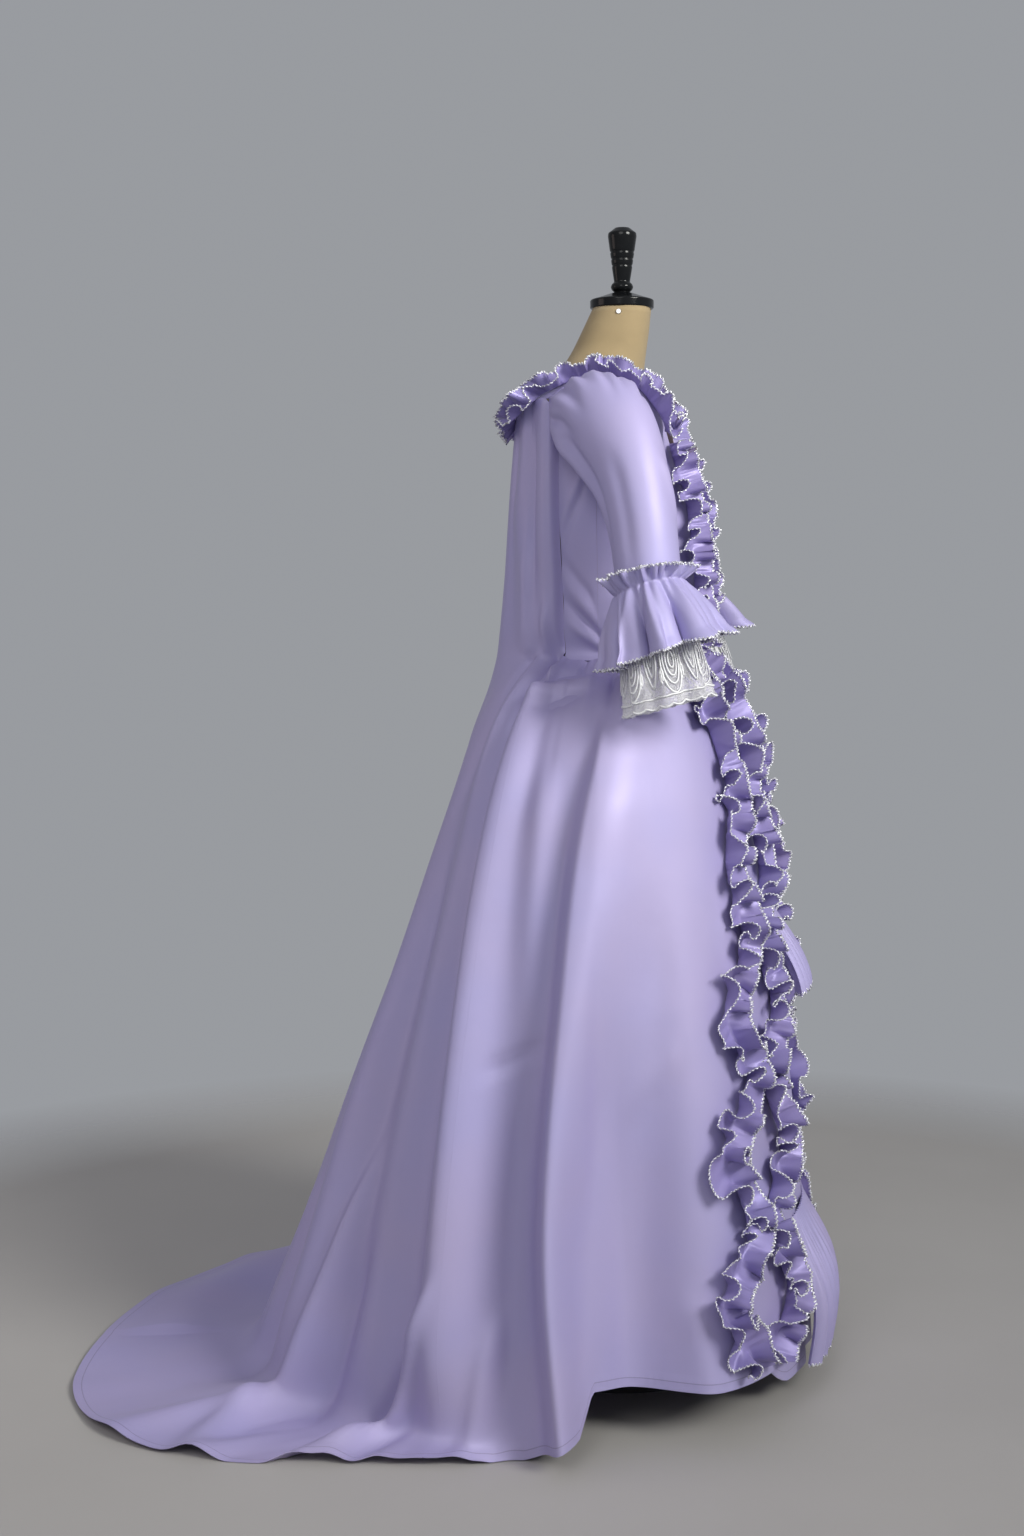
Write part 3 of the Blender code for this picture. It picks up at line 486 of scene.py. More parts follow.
def even_path(points, extra, count):
    """The path again, with count points spaced evenly, and its normals with it."""
    length = reach(points)
    at = np.linspace(0, length[-1], count)
    return read_at(at, length, points), unit(read_at(at, length, extra))


# Finishes


def material(name):
    """Makes a function that fills a node tree into one that gives the gown's material of this name."""

    def wrap(fill):
        def made_once():
            made = bpy.data.materials.get(f"gown_{name}")
            if made is None:
                made = bpy.data.materials.new(f"gown_{name}")
                made.use_nodes = True
                fill(made.node_tree, made.node_tree.nodes["Principled BSDF"])
            return made

        return made_once

    return wrap


def set_inputs(tree, node, inputs):
    """Values for a node's inputs; one that is a socket is linked."""
    for key, value in inputs.items():
        if isinstance(value, bpy.types.NodeSocket):
            tree.links.new(value, node.inputs[key])
        else:
            node.inputs[key].default_value = value


def set_shader(tree, shader, **values):
    set_inputs(tree, shader, {key.replace("_", " "): value for key, value in values.items()})


def add_node(tree, kind, settings=None, inputs=None):
    """A shader node with these settings and inputs."""
    node = tree.nodes.new(kind)
    for key, value in (settings or {}).items():
        setattr(node, key, value)
    set_inputs(tree, node, inputs or {})
    return node


def maths(tree, operation, first, second=0.0):
    return add_node(tree, "ShaderNodeMath", {"operation": operation}, {0: first, 1: second}).outputs[0]


def times(tree, first, second):
    return maths(tree, "MULTIPLY", first, second)


def noise(tree, where, scale, detail=2.0):
    inputs = {"Vector": where, "Scale": scale, "Detail": detail, "Roughness": 0.5}
    return add_node(tree, "ShaderNodeTexNoise", None, inputs).outputs["Fac"]


def blend(tree, factor, first, second):
    """One colour towards another."""
    inputs = {0: factor, 6: opaque(first), 7: opaque(second)}
    return add_node(tree, "ShaderNodeMix", {"data_type": "RGBA"}, inputs).outputs[2]


def opaque(colour, *shades):
    """A colour with its alpha, darkened by one shade for all its channels or one for each."""
    if isinstance(colour, bpy.types.NodeSocket):
        return colour
    shades = shades if len(shades) == 3 else (shades or (1.0,)) * 3
    return tuple(c * shade for c, shade in zip(tuple(colour)[:3], shades)) + (1,)


def remap(tree, value, low, high, start=0.0, end=1.0):
    inputs = {"Value": value, "From Min": low, "From Max": high, "To Min": start, "To Max": end}
    return add_node(tree, "ShaderNodeMapRange", None, inputs).outputs[0]


def bump(tree, height, strength, distance):
    inputs = {"Height": height, "Strength": strength, "Distance": distance}
    return add_node(tree, "ShaderNodeBump", None, inputs).outputs["Normal"]


def object_place(tree):
    return add_node(tree, "ShaderNodeTexCoord").outputs["Object"]


def cloth_place(tree):
    """The piece's own UV, in metres."""
    return add_node(tree, "ShaderNodeUVMap", {"uv_map": "cloth"}).outputs[0]


def colours():
    return bpy.context.scene.gown_colours


HEM_STITCH = 0.012
STITCH_HALF = 0.0007
HEM_PUCKER = 0.011
THREADS_A_METRE = 2600.0
PUCKERS_A_METRE = 95.0


def stretched(tree, across, up, across_scale, up_scale=1.0):
    """Fine noise drawn out along the cloth's warp."""
    spot = {0: times(tree, across, across_scale), 1: times(tree, up, up_scale)}
    return noise(tree, add_node(tree, "ShaderNodeCombineXYZ", None, spot).outputs[0], 1.0, 1.0)


def satin_nodes(tree, shader, colour, roughness, ripple, hem=False):
    """Satin: warp threads along the cloth, soft mottling of the dye, painted shade where the cloth turns away
    from the view, small ripples, a stitched hem.
    """
    where = object_place(tree)
    across, up, _ = add_node(tree, "ShaderNodeSeparateXYZ", None, {0: cloth_place(tree)}).outputs
    patches = remap(tree, noise(tree, where, 4.5, 3.0), 0.35, 0.65)
    tint = blend(tree, patches, opaque(colour, 0.97, 0.98, 1.01), opaque(colour, 1.04, 1.01, 0.98))
    # Painted shade: the colour turns darker and more violet where the cloth is seen edge-on.
    facing = add_node(tree, "ShaderNodeLayerWeight", None, {"Blend": 0.32}).outputs["Facing"]
    tint = blend(tree, times(tree, facing, 0.5), tint, opaque(colour, 0.78, 0.72, 0.86))
    height = times(tree, noise(tree, where, 26.0, 3.0), ripple)
    threads = stretched(tree, across, up, THREADS_A_METRE)
    height = maths(tree, "ADD", height, times(tree, threads, 0.05))
    if hem:
        off = maths(tree, "ABSOLUTE", maths(tree, "SUBTRACT", up, HEM_STITCH))
        line = maths(tree, "LESS_THAN", off, STITCH_HALF)
        tint = blend(tree, times(tree, line, 0.45), tint, opaque(colour, 0.4))
        near = remap(tree, off, 0.0, HEM_PUCKER, 1.0, 0.0)
        ripples = times(tree, stretched(tree, across, up, PUCKERS_A_METRE, 18.0), near)
        height = maths(tree, "ADD", height, times(tree, ripples, 0.9))
    rough = remap(tree, noise(tree, where, 11.0), 0.3, 0.7, roughness - 0.05, roughness + 0.06)
    gloss = {"Sheen_Weight": 0.08, "Sheen_Roughness": 0.4, "Specular_IOR_Level": 0.30, "Metallic": 0.14}
    normal = bump(tree, height, 0.5, 0.0016)
    set_shader(tree, shader, Base_Color=tint, Normal=normal, Roughness=rough, **gloss)


@material("lilac_satin")
def lilac_satin(tree, shader):
    satin_nodes(tree, shader, colours().satin, 0.55, 0.55)


@material("lilac_satin_hemmed")
def hemmed_satin(tree, shader):
    satin_nodes(tree, shader, colours().satin, 0.52, 0.50, hem=True)


# Ruffles: a darker, more violet copy of the panels' satin, which paints shade on the gathered strips.
@material("lilac_satin_ruffle")
def ruffle_satin_with_painted_shade(tree, shader):
    satin_nodes(tree, shader, colours().ruffle, 0.42, 0.35)


@material("silver_braid")
def silver_braid(tree, shader):
    """Twisted metal thread: bright silver with dark gaps between the twists."""
    where = object_place(tree)
    twist = remap(tree, noise(tree, where, 420.0, 1.0), 0.36, 0.52)
    tint = blend(tree, twist, (0.20, 0.19, 0.23), colours().braid)
    normal = bump(tree, noise(tree, where, 900.0, 1.0), 0.6, 0.0004)
    set_shader(tree, shader, Base_Color=tint, Normal=normal, Metallic=0.35, Roughness=0.30)


NET_PITCH = 0.0016


@material("white_lace_net")
def lace_net(tree, shader):
    """Fine net: soft threads round small holes, with darned patches."""
    marks = cloth_place(tree)
    inputs = {"Vector": marks, "Scale": 1 / NET_PITCH}
    holes = add_node(tree, "ShaderNodeTexVoronoi", {"feature": "DISTANCE_TO_EDGE"}, inputs)
    threads = remap(tree, holes.outputs["Distance"], 0.04, 0.14, 0.62, 0.0)
    darned = remap(tree, noise(tree, marks, 120.0), 0.46, 0.62, 0.02, 0.26)
    cover = maths(tree, "MAXIMUM", threads, darned)
    tint = blend(tree, cover, (0.75, 0.73, 0.78), colours().lace)
    normal = bump(tree, cover, 0.5, 0.0006)
    set_shader(tree, shader, Alpha=cover, Base_Color=tint, Normal=normal, Roughness=0.8, Sheen_Weight=0.2)


@material("white_lace_thread")
def lace_thread(tree, shader):
    """Soft white embroidery thread."""
    stitches = noise(tree, object_place(tree), 1500.0, 1.0)
    tint = blend(tree, stitches, opaque(colours().lace, 0.82), colours().lace)
    normal = bump(tree, stitches, 0.6, 0.0004)
    set_shader(tree, shader, Base_Color=tint, Normal=normal, Roughness=0.6, Sheen_Weight=0.2)


@material("linen_cover")
def linen_cover(tree, shader):
    """Fine tan linen drawn tight over the form, with a plain weave and faint stains."""
    where = object_place(tree)
    linen = colours().linen
    stains = remap(tree, noise(tree, where, 16.0, 4.0), 0.35, 0.7)
    weave = noise(tree, where, 1100.0)
    tint = blend(tree, stains, linen, opaque(linen, 0.84))
    tint = blend(tree, times(tree, weave, 0.35), tint, opaque(linen, 0.66))
    normal = bump(tree, weave, 0.4, 0.0005)
    set_shader(tree, shader, Base_Color=tint, Normal=normal, Roughness=0.88, Sheen_Weight=0.15)


@material("black_lacquer")
def black_gloss(tree, shader):
    """Turned wood under black lacquer, with faint brush marks."""
    marks = noise(tree, object_place(tree), 60.0, 3.0)
    tint = blend(tree, marks, (0.004, 0.005, 0.006), (0.009, 0.009, 0.010))
    rough = remap(tree, marks, 0.3, 0.7, 0.10, 0.20)
    set_shader(tree, shader, Base_Color=tint, Roughness=rough, Specular_IOR_Level=0.22)


@material("brushed_steel")
def brushed_steel(tree, shader):
    inputs = {"Vector": object_place(tree), "Scale": (1, 1, 60)}
    marks = noise(tree, add_node(tree, "ShaderNodeMapping", None, inputs).outputs[0], 30.0)
    tint = blend(tree, marks, (0.42, 0.42, 0.43), (0.62, 0.62, 0.63))
    rough = remap(tree, marks, 0.3, 0.7, 0.25, 0.42)
    set_shader(tree, shader, Base_Color=tint, Roughness=rough, Metallic=1.0)


@material("black_enamel")
def black_enamel(tree, shader):
    peel = noise(tree, object_place(tree), 240.0)
    tint = blend(tree, peel, (0.011, 0.012, 0.013), (0.020, 0.020, 0.022))
    set_shader(tree, shader, Base_Color=tint, Normal=bump(tree, peel, 0.2, 0.0003), Roughness=0.36)


# Tables of the bodice, sleeves and trimming: those of the solids, some of them moved a little

BODICE_LOW = WAIST_Z - 0.0010
HALF_SEAM = np.degrees(SEAM / 2 / 0.13)
NECKLINE = (
    # angle, height of the top edge of the bodice front and side
    (0, 1.296),
    (30, 1.296),
    (40, 1.330),
    (52, 1.358),
    (66, 1.353),
    (74, 1.306),
    (90, 1.284),
    (104, 1.300),
    (112, 1.338),
)
PLEAT_DEPTH = 0.005
PLEAT_TURNS = 9
SACK_TOP = (
    # angle, height of the top edge of the sack back
    (112, 1.362),
    (117, 1.376),
    (130, 1.376),
    (150, 1.364),
    (180, 1.356),
)


def neckline(angle):
    return straight(NECKLINE, angle)


def sack_top(angle):
    return straight(SACK_TOP, angle)


def box_pleat(angle):
    """How far the sack's box pleats stand out at the neckline."""
    wave = np.sin(np.radians(angle - SACK_ANGLE) * PLEAT_TURNS)
    return PLEAT_DEPTH * wave**2 * smooth_step(angle, 112, 122)


STOMACHER_POINT = 0.045
STRAP = (
    # inner edge x, y, z, then outer edge x, y, z, over the shoulder from the front to the back
    (0.1060, -0.0380, 1.3860, 0.1280, -0.0150, 1.3790),
    (0.1050, 0.0050, 1.4080, 0.1320, 0.0100, 1.3980),
    (0.1060, 0.0560, 1.4030, 0.1310, 0.0480, 1.3880),
)
STRAP_SEAM = 0.0012
STRAP_FRONT = (54.0, 66.5)
STRAP_BACK = (128.0, 118.5)


def strap_rows(at):
    """Both edges of the strap, from the top edge of the bodice front to that of the sack back."""
    front = np.array(STRAP_FRONT)
    low = neckline(front) + STRAP_SEAM
    first = around(body_radius(front, low), front, low)
    back = np.array(STRAP_BACK)
    low = sack_top(back) + STRAP_SEAM
    last = around(body_radius(back, low) + box_pleat(back), back, low)
    table = np.concatenate([first.reshape(1, 6), np.array(STRAP), last.reshape(1, 6)])
    return spline(at, np.linspace(0, 1, len(table)), table)


def petticoat_points(angles, heights, out=0.0):
    """Points on the petticoat, which hangs inside the gown, close at the waist and clear below."""
    inset = 0.0034 + 0.0086 * smooth_step(WAIST_Z - heights, 0.03, 0.14)
    step = 0.002
    slope = (body_radius(angles, heights + step) - body_radius(angles, heights - step)) / (2 * step)
    return around(body_radius(angles, heights) - (inset - out) * np.hypot(1, slope), angles, heights)


FLOUNCES = (
    # name, top z, bottom z, half angle at top, at bottom, stands out, wave depth, waves, belly
    ("petticoat_flounce", 0.672, 0.556, 19.0, 21.0, 0.032, 0.007, 8, 0.0),
    ("petticoat_hem_flounce", 0.245, 0.045, 24.3, 25.6, 0.016, 0.008, 9, 0.020),
)
TRIM_CLEAR = CLOTH / 2 + TRIM / 2 + TOUCH
TRIM_TOP = 0.020
TRIM_END = 0.985
TRIM_STEPS = 240
LOZENGES = 5
TRIM_CENTRE = ((0.0, 0.052), (0.3, 0.078), (0.5, 0.094), (0.75, 0.112), (1.0, 0.122))
TRIM_SPREAD = ((0.0, 0.033), (0.3, 0.050), (0.6, 0.072), (1.0, 0.082))
TRIM_NARROW = 0.0230
ROBING_HEIGHTS = (1.316, 1.036)
ROBING_STEPS = 60
ROBING_ANGLE = 9.0
STRIPS = {
    # half width, rise, depth of the waves, waves
    "skirt": (0.0245, 0.023, 0.0150, 20),
    "robing": (0.0235, 0.020, 0.0100, 9),
    "neck": (0.0180, 0.021, 0.0088, 20),
}
NECK_STEPS = 160
NECK_PATH = (
    # x, y, z, then the way the ruffle faces, for half of the neck from the front to the back
    (0.0790, -0.0660, 1.3330, 0.30, -0.80, 0.50),
    (0.0930, -0.0660, 1.3430, 0.30, -0.80, 0.55),
    (0.1080, -0.0535, 1.3650, 0.35, -0.65, 0.70),
    (0.1120, -0.0290, 1.3918, 0.30, -0.40, 0.87),
    (0.1130, 0.0070, 1.4072, 0.25, 0.00, 0.97),
    (0.1130, 0.0500, 1.4017, 0.25, 0.25, 0.94),
    (0.1130, 0.0905, 1.3865, 0.35, 0.60, 0.72),
    (0.1000, 0.1205, 1.3680, 0.50, 0.84, 0.20),
    (0.0700, 0.1390, 1.3580, 0.40, 0.90, 0.10),
    (0.0350, 0.1450, 1.3520, 0.20, 0.97, 0.08),
    (0.0000, 0.1480, 1.3490, 0.00, 1.00, 0.06),
)
ARMHOLE_LAP = 0.0024
SLEEVE = (
    # outer x, outer z, inner x, inner z, middle y, half depth, rise to the front
    (0.163, 1.409, 0.1575, 1.279, 0.016, 0.066, 0.000),
    (0.200, 1.392, 0.1630, 1.266, 0.001, 0.065, 0.000),
    (0.232, 1.350, 0.1680, 1.245, -0.018, 0.059, 0.000),
    (0.254, 1.290, 0.1730, 1.218, -0.037, 0.049, 0.002),
    (0.268, 1.225, 0.1790, 1.182, -0.050, 0.045, 0.004),
    (0.277, 1.165, 0.1860, 1.142, -0.057, 0.043, 0.009),
    (0.286, 1.110, 0.2000, 1.098, -0.063, 0.041, 0.014),
)
CUFF_END = (0.3260, 1.0400, 0.2050, 1.0330, -0.0860, 0.0660, 0.026)
LACE_END = (0.3230, 0.9670, 0.2350, 0.9630, -0.0925, 0.0560, 0.015)
CUFF_WAVES = 8
CUFF_SEAM = 0.70
HEADER_RISE = 0.36
HEADER_LEAN = 0.0125
HEADER_DEPTH = 0.0072
LACE_DEPTH = 0.0048
LACE_DROP = 0.0007


def oval(row, turn, grow=0.0):
    """Points of a slanting oval round the arm, from a row of the sleeve's table."""
    outer_x, outer_z, inner_x, inner_z, middle_y, depth, rise = np.moveaxis(np.asarray(row), -1, 0)
    x = (outer_x + inner_x) / 2 + ((outer_x - inner_x) / 2 + grow) * np.cos(turn)
    y = middle_y - (depth + grow) * np.sin(turn)
    z = (outer_z + inner_z) / 2 + (outer_z - inner_z) / 2 * np.cos(turn) + rise * np.sin(turn)
    return np.stack([x, y, z], axis=-1)


FORM_SQUARENESS = 2.35
CAP_PROFILE = (
    # radius, z, up the outside
    (0.0440, 1.5120),
    (0.0450, 1.5130),
    (0.0450, 1.5225),
    (0.0440, 1.5240),
    (0.0300, 1.5285),
    (0.0170, 1.5330),
)
FINIAL_PROFILE = (
    # radius, z, up the outside
    (0.0110, 1.5333),
    (0.0110, 1.5350),
    (0.0145, 1.5380),
    (0.0160, 1.5420),
    (0.0145, 1.5460),
    (0.0112, 1.5490),
    (0.0145, 1.5700),
    (0.0134, 1.5718),
    (0.0148, 1.5730),
    (0.0157, 1.5794),
    (0.0145, 1.5810),
    (0.0160, 1.5822),
    (0.0170, 1.5890),
    (0.0158, 1.5908),
    (0.0174, 1.5920),
    (0.0203, 1.6125),
    (0.0198, 1.6170),
    (0.0105, 1.6240),
)

# Skirt

SKIRT_ROWS = 112
SIDE_STEPS = 150
TRAIN_STEPS = 190
SACK_ROWS = 34
PETTICOAT_ROWS = 56
PETTICOAT_STEPS = 150
FLOUNCE_ROWS = 28
FLOUNCE_SAMPLES = 18
SKIRT_CREASES = (
    # angle at the start and the end, share at the start and the end, height in mm, width in degrees at both
    (116, 122, 0, 0.2, -11, 2.4, 3.4),
    (112, 113, 0, 0.15, 7, 2.2, 3),
    (124, 133, 0, 0.24, 6, 3, 4),
    (130, 143, 0, 0.22, -6, 2.5, 4),
    (105, 106, 0.05, 0.3, -4.5, 2.4, 3.6),
    (97, 99, 0, 0.12, -3, 1.8, 2.6),
    (90, 93, 0, 0.16, 2.5, 1.6, 2.4),
    (77, 80.5, 0.04, 0.16, 8.5, 1.8, 2.2),
    (80, 84, 0.03, 0.2, -8.5, 1.7, 2.2),
    (50, 47, 0, 0.14, -3, 1.8, 2.4),
    (40, 38, 0, 0.18, 3, 1.8, 3),
    (72, 74, 0.3, 1.2, -8, 5, 8),
    (52, 44, 0.3, 0.8, 3.5, 3, 5),
    (45, 40, 0.08, 0.4, -3, 3.5, 4.5),
    (101, 101, 0.16, 0.56, 11, 4, 4),
    (101, 101, 0.5, 1.2, -11, 4, 4.5),
    (122, 124, 0.1, 0.75, -7, 3, 5),
    (139, 140, 0.18, 0.8, -6, 3, 4.5),
    (160, 161, 0.12, 0.6, -6, 4, 5),
    (170, 168, 0.2, 0.75, 5, 3, 4),
    (66, 60, 0.86, 1.12, 5, 3, 3),
)
LEVEL_CREASES = (
    # share at the start and the end, angle at the start and the end, height in mm, width in shares at both
    (0.08, 0.048, 118, 80, 13.5, 0.01, 0.011),
    (0.052, 0.03, 116, 84, -9, 0.009, 0.009),
    (0.1, 0.074, 116, 80, -5, 0.012, 0.012),
    (0.06, 0.022, 124, 98, -5.5, 0.01, 0.01),
    (0.04, 0.014, 128, 96, 4.5, 0.01, 0.008),
    (0.528, 0.52, 110, 92, -5, 0.01, 0.008),
    (0.56, 0.66, 66, 84, 2.5, 0.02, 0.03),
)
LEFT_SHIFT = 2.6
LEFT_DEPTH = 0.85
TRAIN_FOLDS = (
    # angle at the start and the end, share at the start and the end, height in mm, width in degrees at both
    (114, 130, 0.74, 1.06, 30, 1.8, 3),
    (119, 135, 0.8, 1.06, -16, 2.2, 3),
    (127, 121, 0.88, 1.08, 14, 1.8, 2),
    (138, 152, 0.52, 1.08, 22, 2.2, 2.6),
    (136, 141, 0.64, 1.02, -12, 2.6, 3.4),
    (148, 135, 0.84, 1.06, 16, 1.6, 2),
    (158, 163, 0.6, 0.92, -10, 3, 4),
    (171, 168, 0.56, 0.9, 10, 3, 4),
    (104, 109, 0.8, 1.1, 12, 2.2, 2.4),
)
HEM_WAVES = (
    # angle of the lifted place, how high it lifts, half width in degrees
    (104, 0.004, 1.6),
    (118, 0.008, 2.0),
    (127, 0.005, 1.8),
    (137, 0.012, 2.0),
    (148, 0.004, 2.0),
    (163, 0.004, 4.0),
)
FAR_FOLD = 0.026

# Degrees by which the overskirt stops short of the sack, and of the edge of its opening

SACK_MARGIN = 0.001
FRONT_MARGIN = 0.6

# Sack back and petticoat

SACK_ROLL = 0.0130
BACK_CREASES = (
    # angle at the start and the end, way down at both, height in mm, width in degrees at both
    (127, 131, 0.02, 1.05, -6, 2.4, 4.6),
    (137, 142, 0, 0.6, 3, 3, 6),
    (146, 152, 0, 0.5, -3, 2.4, 5),
    (136, 128, 0.5, 1.3, 7, 5, 8),
    (150, 146, 0.35, 1.2, -4, 5, 8),
    (119, 124, 0.74, 1.3, 6, 2.6, 4),
)
PETTICOAT_TOP = 1.012
PETTICOAT_HEM = 0.030
PETTICOAT_LIFT = 0.066
PETTICOAT_DRAWN_IN = 0.034
PETTICOAT_HOLLOW = 0.030


def side_creases(side, angle, share):
    """The finer folds of the skirt: one table for both sides, moved a little on the left side."""
    shift = 0 if side < 0 else LEFT_SHIFT
    lean = bpy.context.scene.gown_cloth.crease_strength * (1.0 if side < 0 else LEFT_DEPTH)
    folds = creases(SKIRT_CREASES, angle - shift, share, lean)
    folds = folds + creases(LEVEL_CREASES, share, angle + shift, lean)
    return folds + creases(TRAIN_FOLDS, angle + shift, share, lean)


def hem_waves(side, angle, share):
    """How high the hem lifts off the floor: bells along it, and a fold along the far edge of the train."""
    shift = 0 if side < 0 else LEFT_SHIFT
    lift = sum(tall * np.exp(-(((angle - shift - place) / wide) ** 2)) for place, tall, wide in HEM_WAVES)
    far = smooth_step(angle, 128, 150) * (1 - 0.6 * smooth_step(angle, 160, 180)) * (side > 0)
    return lift * smooth_step(share, 0.86, 1.0) + FAR_FOLD * far * np.exp(-(((share - 0.93) / 0.045) ** 2))


def skirt_surface(side, size, share, sunk=0.0):
    """Points of the skirt with its large folds and its finer ones, sunk inwards by a given depth."""
    points = skirt_points(side, size, share, sunk - side_creases(side, size, share))
    points[..., 2] = np.maximum(points[..., 2] + hem_waves(side, size, share), CLOTH * 0.5)
    return points


def overskirt_surface(side):
    """One side of the overskirt from its front edge to the sack, and the share of its length at each row."""
    share = np.linspace(0, 1, SKIRT_ROWS)[:, None]
    low = opening_angle(WAIST_Z * (1 - share)) + FRONT_MARGIN
    across = np.linspace(0, 1, SIDE_STEPS)[None, :]
    angles = low * (1 - across) + (SACK_ANGLE - SACK_MARGIN) * across
    return skirt_surface(side, angles, share), share[:, 0]


def pleat(angle):
    """Height of the sack's flat box pleats: full between their edges, nothing in the narrow grooves."""
    groove = np.sin(np.radians(angle - SACK_ANGLE) * PLEAT_TURNS)
    return 1 - np.exp(-((groove / 0.38) ** 2))


def sack_edge(angle):
    """The rolled front edge of the sack: a steep step up at the seam that runs out over a hand's breadth."""
    past = angle - SACK_ANGLE
    return SACK_ROLL * (1 - np.exp(-((past / 1.6) ** 2))) * (1 - smooth_step(past, 4, 20))


def sack_surface():
    """The sack back in one piece: pleats under the neckline, a loose fall to the waist, then the train."""
    even = np.linspace(-1, 1, TRAIN_STEPS + 1)
    across = even * (1.18 - 0.18 * even**2)
    upper = np.linspace(1, 0, SACK_ROWS + 1)[:-1, None]
    angles = (180 + across * (180 - SACK_ANGLE - HALF_SEAM))[None, :] + 0 * upper
    size = np.where(angles > 180, 360 - angles, angles)
    z = WAIST_Z + (sack_top(size) - WAIST_Z) * upper
    pleats = 1.1 * PLEAT_DEPTH * pleat(size) * (0.25 + 0.75 * smooth_step(size, 128, 150))
    stand = pleats * smooth_step(upper, 0.30, 0.95) + 0.003 * smooth_step(size, 112, 120)
    stand = stand + sack_edge(size) * smooth_step(upper, 0, 0.16) + creases(BACK_CREASES, size, 1 - upper)
    bodice = around(body_radius(size, z) + stand, angles, z)
    share = np.linspace(0, 1, SKIRT_ROWS)[:, None]
    angles = (180 + across * (180 - SACK_ANGLE - SACK_MARGIN))[None, :] + 0 * share
    size = np.where(angles > 180, 360 - angles, angles)
    sunk = -0.003 * smooth_step(size, 112, 120) * (1 - smooth_step(share, 0, 0.2))
    right, left = (skirt_surface(side, size, share, sunk) for side in (-1, 1))
    return np.concatenate([bodice, np.where((angles > 180)[..., None], right, left)])


def petticoat_surface():
    """The petticoat all round, in soft waves; its hem is higher where the overskirt hides it."""
    angles = np.linspace(-180, 180, PETTICOAT_STEPS, endpoint=False)[None, :]
    size = np.abs(angles)
    turn = np.radians(angles)
    hem = PETTICOAT_HEM + PETTICOAT_LIFT * smooth_step(size, 30, 52)
    z = PETTICOAT_TOP + (hem - PETTICOAT_TOP) * np.linspace(0, 1, PETTICOAT_ROWS)[:, None]
    down = WAIST_Z - z
    out = 0.004 * smooth_step(down, 0.05, 0.4) * (np.sin(turn * 13) + 0.5 * np.sin(turn * 22 + 1.0) - 1)
    out = out - PETTICOAT_DRAWN_IN * smooth_step(size, 44, 60) * smooth_step(down, 0.1, 0.5)
    hollow = np.exp(-(((size - 78) / 15) ** 2))
    out = out - PETTICOAT_HOLLOW * hollow * smooth_step(down, 0.3, 0.7)
    return petticoat_points(angles, z, out)


def flounce_surface(top, bottom, half_top, half_bottom, out, depth, waves, belly):
    """A tier gathered along its top edge: many small gathers there, running into the waves below."""
    share = np.linspace(0, 1, FLOUNCE_ROWS)[:, None]
    across = np.linspace(-1, 1, waves * FLOUNCE_SAMPLES + 1)[None, :]
    z = top + (bottom - top) * share
    angles = across * (half_top + (half_bottom - half_top) * share)
    turn = across * np.pi * waves + np.pi / 4
    wave = depth * smooth_step(share, 0, 0.7) * (np.sin(turn) + 0.25 * np.sin(2 * turn + 1.2))
    gathers = 0.0016 * np.sin(3.2 * turn + 0.8 * np.sin(turn)) * (1 - smooth_step(share, 0.1, 0.75))
    stand = TRIM_CLEAR + out * smooth_step(share, 0, 1.0) + belly * np.sin(np.pi * share) ** 1.2
    stand = stand + wave + depth * smooth_step(share, 0, 0.5) + gathers
    points = petticoat_points(angles, z, stand)
    points[..., 0] += 0.35 * depth * smooth_step(share, 0.2, 1.0) * np.sin(2 * turn)
    return points


# Gathered strips

RUFFLE_SAMPLES = 20
RUFFLE_ACROSS = 17
LOOP_SHARE = 0.85
UNEVEN = 0.62
TWIST = 0.24
CRUSH = 0.17


def gathered_strip(path, normals, sizes, phase=0.0, lift=0.0):
    """A strip stitched down its middle whose edges stand up in rounded loops.

    Across the strip, v goes from -1 to 1. Each edge leans out by half_width and rises by rise.
    It waves at right angles to itself by depth times cos(turn) and some faster waves, and along
    the path by sin(2 turn), which makes the loops overhang. Slow waves then crush one puff and
    widen the next, and twist the strip a little about its path.
    """
    half_width, rise, depth, waves = sizes
    count = waves * RUFFLE_SAMPLES + 1
    path, normals = even_path(path, normals, count)
    path = path + normals * (TRIM_CLEAR + lift)
    step = reach(path)[-1] / waves
    along = unit(np.gradient(path, axis=0))
    sideways = unit(np.cross(along, normals))
    turn = np.linspace(0, 2 * np.pi * waves, count)[:, None] + phase
    v = np.linspace(-1, 1, RUFFLE_ACROSS)[None, :]
    edge = np.abs(v)
    hand = np.sign(v)
    turn = turn + UNEVEN * (np.sin(0.43 * turn + 0.9 * hand) + 0.6 * np.sin(0.71 * turn + 2 * hand))
    uneven = 0.82 + 0.30 * np.sin(0.61 * turn + 1.7 * hand)
    fine = 0.34 * np.cos(2 * turn + 1.3 * hand + 0.8 * np.sin(0.37 * turn))
    fine = fine + 0.16 * np.cos(3 * turn + 2 * hand)
    wave = depth * edge**1.15 * (uneven * np.cos(turn) + fine)
    loop = LOOP_SHARE * step / (2 * np.pi) * edge**1.4 * uneven * np.sin(2 * turn + 0.5 * hand)
    lean = np.hypot(half_width, rise)
    crush = 1 + CRUSH * (np.sin(0.39 * turn + 2.1 * hand) + 0.6 * np.sin(0.83 * turn + hand))
    out = (v * half_width - hand * wave * rise / lean) * crush
    up = edge**1.25 * rise + wave * half_width / lean
    up = up + 0.0012 * np.sin(6.0 * turn + 2.0 * hand + np.sin(turn)) * edge * (1 - edge) * 4
    up = up * (2 - crush)
    twist = TWIST * np.sin(0.33 * turn[:, :1] + 1.3)
    out, up = out * np.cos(twist) - up * np.sin(twist), out * np.sin(twist) + up * np.cos(twist)
    shifts = ((sideways, out), (normals, up), (along, loop))
    points = path[:, None] + sum(way[:, None] * far[..., None] for way, far in shifts)
    return points.transpose(1, 0, 2)


